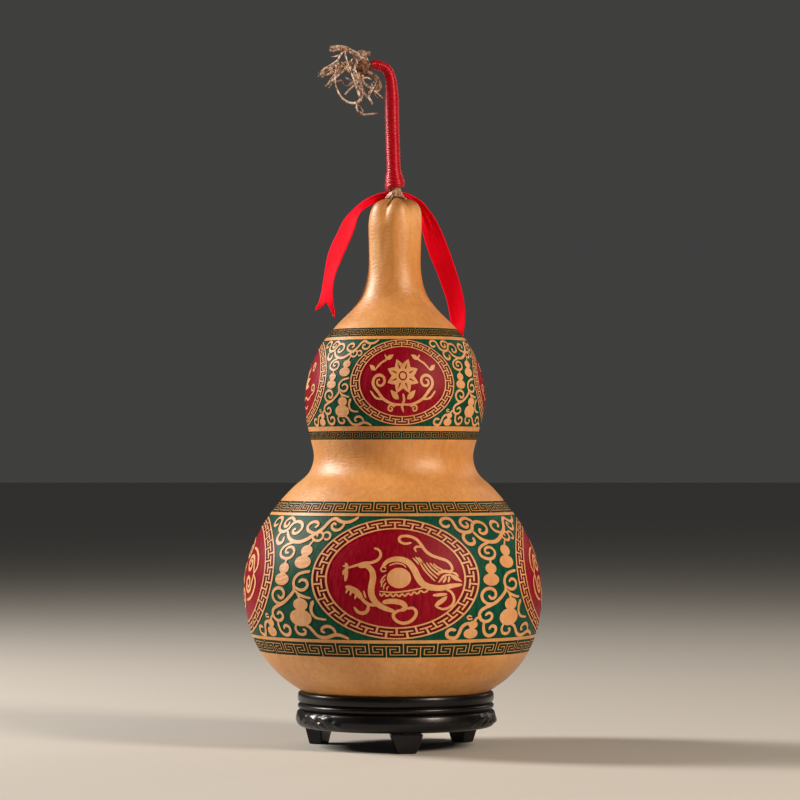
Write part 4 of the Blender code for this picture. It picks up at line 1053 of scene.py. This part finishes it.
vineShape = {
    "knotMiddle": (-14.4, -1.2, 325.6),
    "knotSize": (3.7, 3.2, 4.2),
    # Each twig: its run, its radius at both ends and how bleached it is. The thick forked strip is first.
    "twigs": [
        ([(-14.4, -1.0, 327.0), (-14.2, -1.0, 330.0), (-18.1, -1.4, 332.4), (-22.5, -1.9, 334.4),
          (-26.4, -2.3, 335.5), (-30.0, -2.6, 335.0)], 2.0, 0.8, 0.6),
        ([(1.2, -1.2, 267.4), (0.1, -2.0, 266.0), (-1.5, -2.7, 264.4), (-3.3, -3.1, 262.6)], 0.8, 0.6, 1.0),
        ([(3.5, -1.0, 266.0), (4.4, -1.7, 264.2), (5.5, -2.2, 263.0), (6.6, -2.4, 262.2)], 0.5, 0.4, 0.7),
        ([(-28.6, -2.5, 335.4), (-29.8, -2.8, 333.9), (-28.4, -3.4, 333.2)], 0.7, 0.4, 0.5),
        ([(-23.0, -1.9, 334.6), (-26.6, -3.2, 334.0), (-28.4, -4.6, 333.0)], 0.9, 0.5, 0.6),
        ([(-17.0, -1.2, 332.0), (-13.6, 1.8, 333.4), (-11.0, 2.6, 332.4)], 1.5, 0.8, 0.2),
        ([(-15.6, -2.2, 331.0), (-12.6, -2.8, 332.2), (-11.2, -1.4, 333.0)], 1.1, 0.5, 0.35),
        ([(-23.2, -1.8, 334.0), (-22.0, -4.6, 328.2), (-20.0, -5.6, 322.8), (-18.0, -5.0, 317.4),
          (-16.2, -3.2, 312.8), (-15.2, -1.0, 309.6)], 0.42, 0.5, 0.95),
        ([(-23.4, -1.8, 334.2), (-26.4, -4.4, 328.2), (-27.6, -6.6, 321.0), (-27.0, -7.6, 315.6),
          (-24.4, -7.4, 310.6), (-20.6, -5.4, 308.4), (-17.0, -2.8, 308.8), (-15.0, -1.0, 311.2),
          (-14.4, 0.4, 316.0), (-16.8, 0.4, 321.4)], 0.3, 0.62, 0.9),
        ([(-16.4, -1.0, 326.8), (-20.6, 0.0, 328.2), (-25.0, 0.8, 327.4), (-30.6, 1.8, 324.4),
          (-35.8, 2.8, 321.9)], 1.0, 0.5, 0.45),
        ([(-23.0, 0.4, 327.6), (-28.6, -1.8, 323.6), (-34.0, -3.0, 320.8)], 0.8, 0.5, 0.55),
        ([(-22.0, 0.2, 327.6), (-27.0, 3.4, 322.4), (-29.8, 5.6, 319.4),
          (-32.4, 6.8, 317.6)], 0.8, 0.5, 0.35),
        ([(-20.4, -0.2, 328.0), (-25.4, -2.2, 322.6), (-30.4, -4.2, 318.4)], 0.8, 0.5, 0.65),
        ([(-15.1, -1.0, 310.2), (-17.2, -0.4, 307.2), (-16.4, 1.0, 304.2), (-13.6, 2.0, 303.4),
          (-10.0, 2.4, 303.8), (-6.6, 2.2, 304.2)], 0.6, 0.4, 0.4),
        ([(-14.4, -1.8, 324.4), (-9.8, -4.6, 321.8), (-6.6, -5.6, 318.8), (-6.4, -5.4, 315.4),
          (-7.9, -5.0, 313.6)], 1.4, 0.8, 0.25),
        ([(-14.4, -1.4, 323.4), (-13.8, -4.6, 318.0), (-10.6, -6.0, 315.4), (-7.6, -6.2, 313.0),
          (-4.8, -6.4, 310.4)], 0.7, 0.32, 0.95),
        ([(-7.4, -5.3, 319.6), (-9.2, -6.4, 315.6), (-11.4, -6.8, 311.4),
          (-9.6, -6.6, 307.4)], 0.6, 0.55, 0.7),
        ([(-15.4, -0.8, 323.6), (-18.4, 2.4, 319.8), (-22.2, 4.8, 317.8), (-24.6, 4.6, 320.2),
          (-27.0, 3.2, 319.6)], 0.7, 0.45, 0.4),
        ([(-16.6, -1.0, 327.4), (-18.2, 3.8, 324.0), (-17.6, 6.4, 319.0), (-14.4, 7.4, 315.4),
          (-12.0, 6.4, 311.6)], 0.6, 0.45, 0.5),
        ([(-23.2, -2.2, 333.8), (-24.9, -3.8, 331.7), (-27.0, -4.6, 328.6), (-29.7, -4.4, 326.6),
          (-32.5, -3.8, 325.0), (-35.9, -2.6, 322.5)], 0.38, 0.32, 1.0),
        ([(-23.2, -2.0, 333.6), (-26.3, -3.0, 331.2), (-29.4, -4.2, 330.5)], 0.34, 0.24, 1.0),
        ([(-22.9, -2.2, 333.2), (-22.2, -5.2, 329.3), (-21.3, -6.0, 326.2)], 0.4, 0.3, 1.0),
        ([(-24.6, -0.4, 328.2), (-27.7, -3.2, 326.6), (-32.1, -4.6, 324.4),
          (-34.8, -4.4, 322.0)], 0.6, 0.34, 0.8),
        ([(-24.0, 0.4, 327.4), (-28.2, -4.4, 321.8), (-31.4, -5.2, 316.8)], 0.5, 0.34, 0.6),
        ([(-26.4, 3.0, 322.6), (-29.0, 4.2, 318.9), (-30.6, 4.0, 316.5)], 0.45, 0.3, 0.7),
        ([(-25.4, 1.0, 327.2), (-30.4, 3.8, 327.0), (-33.2, 4.6, 326.0)], 0.4, 0.26, 0.9),
        ([(-25.6, 1.4, 326.6), (-30.8, 5.4, 323.6), (-34.6, 6.2, 323.4)], 0.4, 0.26, 0.75),
        ([(-26.5, -4.6, 326.0), (-23.9, -5.4, 326.4), (-22.0, -5.6, 324.6),
          (-20.6, -5.4, 322.4)], 0.42, 0.42, 0.95),
        ([(-20.3, -1.6, 328.4), (-18.6, -4.0, 329.8), (-17.0, -4.8, 328.2),
          (-17.6, -4.6, 325.8)], 0.42, 0.36, 0.8),
        ([(-17.4, -3.6, 327.4), (-18.3, -5.6, 324.4), (-17.2, -5.6, 322.2),
          (-18.6, -5.0, 320.4)], 0.5, 0.34, 1.0),
        ([(-19.1, -4.4, 321.4), (-15.7, -5.4, 319.5), (-12.9, -5.4, 320.4),
          (-10.2, -5.6, 319.5)], 0.42, 0.34, 0.85),
        ([(-22.7, -3.2, 320.7), (-19.6, -4.8, 319.2), (-16.6, -4.8, 319.4)], 0.34, 0.34, 0.9),
        ([(-20.6, 0.6, 328.4), (-19.8, -2.8, 325.2), (-16.6, -4.4, 321.2),
          (-17.2, -4.4, 317.2)], 0.5, 0.4, 0.55),
        ([(-16.4, -3.0, 323.0), (-15.4, -4.2, 317.8), (-15.9, -3.6, 313.4)], 0.55, 0.4, 0.45),
        ([(-13.4, -5.2, 317.4), (-11.6, -6.2, 316.3), (-10.0, -6.4, 315.0)], 0.36, 0.36, 1.0),
        ([(-9.4, -5.6, 318.4), (-8.2, -6.6, 316.9), (-9.4, -6.6, 315.6),
          (-10.2, -6.0, 317.4)], 0.34, 0.3, 0.9),
        ([(-15.6, -1.0, 309.3), (-17.4, -1.6, 307.2), (-16.8, -1.4, 304.8), (-14.3, -0.4, 304.3),
          (-15.5, -0.6, 306.9), (-17.5, -1.2, 308.0)], 0.34, 0.28, 0.75),
        ([(-13.0, 0.8, 324.8), (-9.0, 3.6, 322.2), (-6.8, 4.8, 318.4), (-8.4, 5.2, 314.6),
          (-7.0, 5.0, 311.8)], 0.8, 0.4, 0.35),
        ([(-15.0, 1.0, 324.4), (-16.0, 5.2, 320.6), (-19.8, 6.8, 317.0),
          (-23.0, 6.4, 313.6)], 0.6, 0.35, 0.6),
    ],
}


def lumpyKnot(middle, size, rows=20, sides=28):
    # A rounded lump: an ellipsoid times 1 + 0.14 sin(5 latitude + 3 turn) + 0.08 cos(4 latitude + 7 turn).
    latitude = np.linspace(-np.pi / 2, np.pi / 2, rows + 2)[1:-1][:, None]
    turn = np.linspace(0, 2 * np.pi, sides, endpoint=False)[None]
    fold = 1 + 0.14 * np.sin(5 * latitude + 3 * turn) + 0.08 * np.cos(7 * turn + 4 * latitude)
    around, upward = fold * np.cos(latitude), fold * np.sin(latitude)
    body = np.stack([around * np.cos(turn), around * np.sin(turn), upward], axis=-1)
    body = np.vstack([body.reshape(-1, 3), [[0, 0, -1], [0, 0, 1]]]) * np.array(size) + np.array(middle)
    return body, *cappedFaces(rows, sides)


def makeVine():
    # The stem, its knot, and every dried twig and tendril, grown as one piece.
    stem = spaced(smoothLine(stemShape["run"], 12), 0.8)
    reach = distances(stem)
    collar = stemShape["collar"] * (1 - blend(reach, 0, 2.6))
    parts = [rod(stem, stemRadius(reach) + collar, 30, 0.09, 5)]
    parts.append(lumpyKnot(vineShape["knotMiddle"], vineShape["knotSize"]))
    pales = [0.3, 0.0]
    for number, (points, thick, thin, pale) in enumerate(vineShape["twigs"]):
        run = spaced(smoothLine(points, 8), 0.5)
        share = distances(run) / distances(run)[-1]
        wobble = 0.13 * np.sin(9 * share + number) + 0.09 * np.sin(23 * share + 2 * number)
        radii = (thick + (thin - thick) * share) * (1 + wobble)
        parts.append(rod(run, radii, 10 if thick < 1 else 16, 0.2, 3, 0.78, 5.0))
        pales.append(pale)
    sizes = [len(points) for points, _, _ in parts]
    offsets = np.cumsum([0, *sizes[:-1]])
    faceSets = [part[kind] + offset for kind in (1, 2) for part, offset in zip(parts, offsets)]
    isStem = [np.full(len(faces), number % len(parts) == 0) for number, faces in enumerate(faceSets)]
    points = np.vstack([points for points, _, _ in parts])
    woods = np.concatenate(isStem)
    tuft = addPiece("driedVineTuft", points, faceSets, [vine, stemWood], "vine_stem", woods)
    layer = tuft.data.attributes.new("bleached", "FLOAT", "POINT")
    layer.data.foreach_set("value", np.repeat(pales, sizes).astype(np.float32))
    return tuft


makeVine()

threadShape = {
    "from": 5.6,  # where it starts and ends along the stem
    "to": 70.4,
    "coat": 3.45,  # the radius over the thread
    "tipShare": 0.72,
    "skirt": (1.6, 10.0),  # the turns are heaped up round its foot and fall off between these distances
    "skirtRadius": 4.9,
    "droop": 1.9,  # how far the skirt's left side hangs lower
    "droopEnd": 9.0,
    "pitch": 0.74,  # silk thread of this kind, laid side by side
    "rounding": 0.22,
    "rowsPerTurn": 7,
    "boreRows": 60,
    "sides": 30,
}


def makeThread():
    # The winding: r(s, a) = coat(s) + rounding * (sqrt(1 - (2f - 1)^2) - 1), where f is the place within a
    # turn, the fraction of s / pitch - a / 360 degrees. It is bored for the stem.
    shape = threadShape
    line = spaced(smoothLine(stemShape["run"], 24), 0.25)
    rows = int((shape["to"] - shape["from"]) / shape["pitch"] * shape["rowsPerTurn"])
    stations = np.linspace(shape["from"], shape["to"], rows)
    path = np.stack([np.interp(stations, distances(line), line[:, k]) for k in range(3)], axis=1)
    past = stations - shape["from"]
    skirt = (1 - blend(past, *shape["skirt"])) * (0.7 + 0.3 * blend(past, 0, shape["skirt"][0]))
    taper = 1 - (1 - shape["tipShare"]) * blend(stations, *stemShape["taper"])
    coat = shape["coat"] * taper + (shape["skirtRadius"] - shape["coat"]) * skirt
    _, side, up = carried(path)
    angle = np.linspace(0, 2 * np.pi, shape["sides"], endpoint=False)[None]
    outward = np.cos(angle)[..., None] * side[:, None] + np.sin(angle)[..., None] * up[:, None]
    # The hand-wound turns drift a little along the stem and stand a little unevenly.
    drift = 0.22 * np.sin(stations * 0.7) + 0.14 * np.sin(stations * 1.9 + 1.0)
    place = ((stations + drift) / shape["pitch"])[:, None] - angle / (2 * np.pi)
    turnNumber = np.floor(place)
    within = place - turnNumber
    uneven = 0.08 * np.sin(turnNumber * 2.4) + 0.05 * np.sin(turnNumber * 5.1 + 1.0)
    size = coat[:, None] + shape["rounding"] * (np.sqrt(1 - (2 * within - 1) ** 2) - 1) + uneven
    outer = path[:, None] + size[..., None] * outward
    leftward = np.clip(-outward[..., 0], 0, 1) ** 1.5
    outer[..., 2] -= shape["droop"] * (1 - blend(past, 0, shape["droopEnd"]))[:, None] * leftward
    inset = np.linspace(0, rows - 1, shape["boreRows"]).astype(int)[::-1]
    bore = (stemRadius(stations) * 1.05 + 0.1)[inset]
    inner = path[inset][:, None] + bore[:, None, None] * outward[inset]
    points = np.concatenate([outer, inner]).reshape(-1, 3)
    faces = ringFaces(rows + len(inset), shape["sides"], closed=True)
    return addPiece("silkThreadWinding", points, [faces], [silk], "thread_wrap")


makeThread()

ribbonShape = {
    "width": 10.0,
    "thickness": 0.35,
    "notch": 6.2,
    "cup": 0.28,  # how far its middle stands off its edges
    "pleat": 1.1,  # the depth of the pleats where it is gathered most
    "stations": 260,
    "acrossSteps": 16,
    # Left tail to right tail: the middle, the direction from outer edge to inner, the share of the width.
    "run": [
        ((-32.6, 0.6, 207.1), (4.6, -0.3, -1.8), 1.0), ((-32.1, 0.8, 212.9), (3.3, -3.7, -0.3), 1.0),
        ((-31.5, 1.2, 219.0), (2.6, -4.3, -0.2), 1.0), ((-30.6, 1.6, 224.8), (2.6, -4.2, -0.5), 1.0),
        ((-29.2, 2.0, 230.6), (2.9, -3.9, -1.2), 1.0), ((-27.5, 2.4, 235.9), (3.3, -3.5, -1.5), 1.0),
        ((-25.4, 2.7, 240.8), (3.4, -3.4, -1.5), 1.0), ((-23.2, 3.0, 245.6), (3.2, -3.6, -1.5), 1.0),
        ((-21.2, 3.2, 250.2), (2.8, -3.7, -1.8), 1.0), ((-19.0, 3.4, 254.5), (1.7, -4.2, -1.9), 1.0),
        ((-16.1, 3.7, 258.4), (0.8, -4.2, -1.9), 0.93), ((-12.4, 4.2, 261.3), (0.4, -3.3, -2.0), 0.76),
        ((-8.4, 4.4, 263.2), (-0.1, -1.8, -1.9), 0.54), ((-4.2, 4.4, 264.3), (-0.2, -0.6, -1.7), 0.38),
        ((1.2, 4.3, 264.6), (0.0, 0.1, -1.7), 0.34), ((5.8, 5.4, 264.1), (0.1, 0.8, -1.6), 0.36),
        ((9.4, 7.0, 262.4), (-0.1, 2.0, -1.6), 0.52), ((12.9, 8.0, 259.7), (-0.7, 3.0, -1.8), 0.72),
        ((15.2, 8.6, 256.0), (-1.9, 3.6, -1.7), 0.88), ((16.9, 9.0, 252.2), (-3.1, 3.2, -1.8), 0.97),
        ((19.5, 9.6, 245.5), (-4.0, 2.3, -1.8), 1.0), ((22.7, 10.0, 236.9), (-4.4, 1.6, -1.7), 1.0),
        ((25.4, 10.6, 229.9), (-4.2, 2.2, -1.4), 1.0), ((27.9, 11.4, 222.6), (-4.1, 2.6, -1.1), 1.0),
        ((30.0, 12.2, 215.7), (-3.9, 3.0, -0.9), 1.0), ((31.1, 13.4, 209.3), (-3.6, 3.4, -0.5), 1.0),
        ((31.6, 14.6, 203.3), (-3.1, 3.9, -0.3), 1.0), ((31.3, 15.8, 196.8), (-2.8, 4.1, 0.3), 1.0),
        ((33.9, 19.2, 190.8), (-2.4, 4.3, 0.8), 1.0),
    ],
}


def makeRibbon():
    # A strip P(s, v) = middle(s) + v width share(s) / 2 side(s) + (cup (1 - v^2) share + pleats + ripples)
    # normal(s). Its tails are drawn back by notch (1 - |v|), and the pleats fold away what the share takes
    # from the width.
    shape = ribbonShape
    givenMiddles, givenSides, givenShares = zip(*shape["run"])
    middles, sides = smoothLine(givenMiddles, 16), smoothLine(givenSides, 16)
    sides /= np.linalg.norm(sides, axis=1, keepdims=True)
    spans = np.arange(len(givenShares))
    shares = np.interp(np.linspace(0, spans[-1], len(middles)), spans, givenShares)
    reach = distances(middles)
    length = reach[-1]
    normals = np.cross(np.gradient(middles, reach, axis=0), sides)
    normals /= np.linalg.norm(normals, axis=1, keepdims=True)
    across = np.linspace(-1, 1, shape["acrossSteps"] + 1)[None]
    stations = np.linspace(0, length, shape["stations"])[:, None]
    drawn = shape["notch"] * (1 - np.clip(stations / (2.5 * shape["notch"]), 0, 1))
    station = stations + (drawn - drawn[::-1]) * (1 - np.abs(across))

    def at(values):
        return np.stack([np.interp(station, reach, values[:, k]) for k in range(3)], axis=-1)

    share = np.interp(station, reach, shares)
    half = 0.5 * shape["width"] * share * across
    fold = shape["pleat"] * np.sqrt(np.clip(1 - share**2, 0, 1))
    offset = shape["cup"] * (1 - across**2) * share + fold * np.cos(2.5 * np.pi * across)
    offset += 0.10 * np.sin(station / 6.5 + 1.2 * across) + 0.05 * np.sin(station / 2.9 - 2.0 * across)
    points = (at(middles) + half[..., None] * at(sides) + offset[..., None] * at(normals)).reshape(-1, 3)
    ids = np.arange(station.size).reshape(station.shape)
    faces = np.stack([ids[:-1, :-1], ids[:-1, 1:], ids[1:, 1:], ids[1:, :-1]], axis=-1).reshape(-1, 4)
    ribbon = addPiece("satinRibbon", points, [faces], [satin], "ribbon")
    layer = ribbon.data.uv_layers.new(name="ribbonRun")
    flat = np.stack([np.broadcast_to(across, station.shape) * 0.5 * shape["width"], station], axis=-1) * mm
    layer.data.foreach_set("uv", flat.reshape(-1, 2)[faces.ravel()].astype(np.float32).ravel())
    solidify = ribbon.modifiers.new("Thickness", "SOLIDIFY")
    solidify.thickness = shape["thickness"] * mm
    solidify.offset = 0.0
    print(f"ribbon length {length:.1f} mm")
    return ribbon


makeRibbon()

standShape = {
    "middle": 1.5,  # along X, under the gourd's foot
    "height": 26.6,
    "seatFloor": 13.0,
    "underside": 9.5,
    "gap": 0.3,  # between the seat and the gourd
    # The outside from the rim down: radius and height.
    "outline": [
        (45.3, 26.6), (46.2, 26.4), (46.7, 25.8), (46.95, 24.4), (46.9, 23.0), (46.5, 21.9), (45.4, 21.4),
        (45.3, 21.15), (46.3, 20.9), (46.8, 20.4), (46.95, 19.8), (46.8, 19.1), (46.2, 18.6), (45.3, 18.35),
        (45.4, 18.1), (46.5, 17.7), (47.2, 17.0), (47.6, 15.8), (47.9, 13.8), (47.5, 12.0), (46.8, 10.9),
        (45.6, 10.0), (43.4, 9.5),
    ],
    "columns": 288,
    "carvings": [-53.0, 67.0, 187.0],  # the turns of the carved cloud scrolls
    "carvedRadius": 47.5,
    "carvedTop": 18.1,  # the carved drum lies below this
    "carvedHeight": 0.7,
    # The strokes of a scroll, in millimetres to the side of its turn and up the stand.
    "scroll": [
        [(-6.6, 14.6), (-3.6, 16.2), (0.0, 14.6), (3.6, 16.2), (6.6, 14.6)],
        [(-6.0, 11.8), (-3.0, 12.8), (0.0, 11.6), (3.0, 12.8), (6.0, 11.8)],
        [(-15.5, 12.4), (-13.0, 13.4), (-11.4, 13.6)], [(15.5, 12.4), (13.0, 13.4), (11.4, 13.6)],
        curl((-9.0, 14.0), 2.4, 20, 1.2), curl((9.0, 14.0), 2.4, 160, -1.2),
    ],
}


def carvedScroll(turn, height):
    # How far the cloud scrolls stand out at each point: 1 on their strokes, 0 a millimetre away.
    raised = np.zeros(np.broadcast(turn, height).shape)
    for middle in standShape["carvings"]:
        away = (turn - middle + 180) % 360 - 180
        place = np.stack(np.broadcast_arrays(np.radians(away) * standShape["carvedRadius"], height), axis=-1)
        for stroke in standShape["scroll"]:
            line = spaced(smoothLine(stroke, 6), 0.5)
            near = np.abs(place[..., 0] - line[:, 0].mean()) < 9
            gap = np.linalg.norm(place[near][:, None] - line[None], axis=-1).min(1)
            raised[near] = np.maximum(raised[near], 1 - blend(gap, 0.45, 1.25))
    return raised


def makeStand():
    # The turned drum: its outline carried round, with r + carved scrolls, over a dished seat that is the
    # gourd's own underside one gap wider.
    shape = standShape
    outline = smoothLine(shape["outline"], 3)
    heights = np.linspace(shape["seatFloor"], shape["height"] - 0.5, 12)
    below = outlinePoints[outlinePoints[:, 1] < 60][::-1]
    seat = np.stack([np.interp(heights + shape["gap"], below[:, 1], below[:, 0]) + shape["gap"], heights], 1)
    seat[0, 0] = 0.7 * seat[2, 0]
    floor = np.stack([np.linspace(2, seat[0, 0], 4)[:-1], np.full(3, shape["seatFloor"])], 1)
    under = np.stack([np.linspace(42.0, 2, 5), np.full(5, shape["underside"])], 1)
    line = np.vstack([floor, seat, outline, under])
    turns = 360 * np.arange(shape["columns"]) / shape["columns"]
    radius, height = line.T[..., None]
    outside = (line[:, 0] > outline[-1, 0]) & (line[:, 1] < shape["carvedTop"])
    carved = np.zeros((len(line), shape["columns"]))
    carved[outside] = carvedScroll(turns[None], height[outside])
    radius = radius + shape["carvedHeight"] * carved
    angle = np.radians(turns)[None] - np.pi / 2
    upward = np.broadcast_to(height, radius.shape)
    body = np.stack([radius * np.cos(angle) + shape["middle"], radius * np.sin(angle), upward], axis=-1)
    middles = [(shape["middle"], 0.0, shape["seatFloor"]), (shape["middle"], 0.0, shape["underside"])]
    points = np.vstack([body.reshape(-1, 3), middles])
    # The line runs from the seat outwards and down, so the faces are turned round to point outwards.
    faceSets = [faces[:, ::-1] for faces in cappedFaces(len(line), shape["columns"])]
    stand = addPiece("turnedStand", points, faceSets, [lacquer], "stand_body")
    stand.data.set_sharp_from_angle(angle=math.radians(38))
    return stand


makeStand()
for number in (1, 2, 3):
    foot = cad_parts[f"stand_foot_{number}"]
    foot.data.materials.clear()
    foot.data.materials.append(lacquer)
print("stand made")

studio = {
    "floor": "C0BDB7",
    "room": "DDDCDA",
    "roomStrength": 0.07,
    # Each light: its place, its size, its power in watts and its colour.
    "lights": [
        ("Left softbox", (-1.16, 0.3, 0.84), (0.3, 0.66), 29.0, "FFF6EC"),
        ("Right softbox", (0.95, -0.85, 0.8), (0.34, 0.5), 18.5, "FFEBD6"),
        ("Rim behind", (0.9, 0.9, 0.7), (0.3, 0.7), 1.6, "FFF2E2"),
    ],
    "aim": (0.0, 0.0, 0.16),
}


def addFloor():
    finish, *_ = startFinish("paleStudioFloor", Base_Color=toLinear(studio["floor"]), Roughness=0.7)
    mesh = bpy.data.meshes.new("studioFloor")
    mesh.from_pydata([(-20, -20, 0), (20, -20, 0), (20, 20, 0), (-20, 20, 0)], [], [(0, 1, 2, 3)])
    mesh.materials.append(finish)
    floor = bpy.data.objects.new("studioFloor", mesh)
    bpy.context.scene.collection.objects.link(floor)


def addLight(name, place, size, power, colour):
    data = bpy.data.lights.new(name, "AREA")
    data.shape = "RECTANGLE"
    data.size, data.size_y = size
    data.energy = power
    data.color = toLinear(colour)[:3]
    light = bpy.data.objects.new(name, data)
    bpy.context.scene.collection.objects.link(light)
    light.location = place
    light.rotation_euler = (Vector(studio["aim"]) - Vector(place)).to_track_quat("-Z", "Y").to_euler()


addFloor()
for entry in studio["lights"]:
    addLight(*entry)
world = bpy.data.worlds.new("Studio")
world.use_nodes = True
background = world.node_tree.nodes["Background"]
background.inputs["Color"].default_value = toLinear(studio["room"])
background.inputs["Strength"].default_value = studio["roomStrength"]
bpy.context.scene.world = world
bpy.context.scene.view_settings.view_transform = "Standard"
print("studio made")
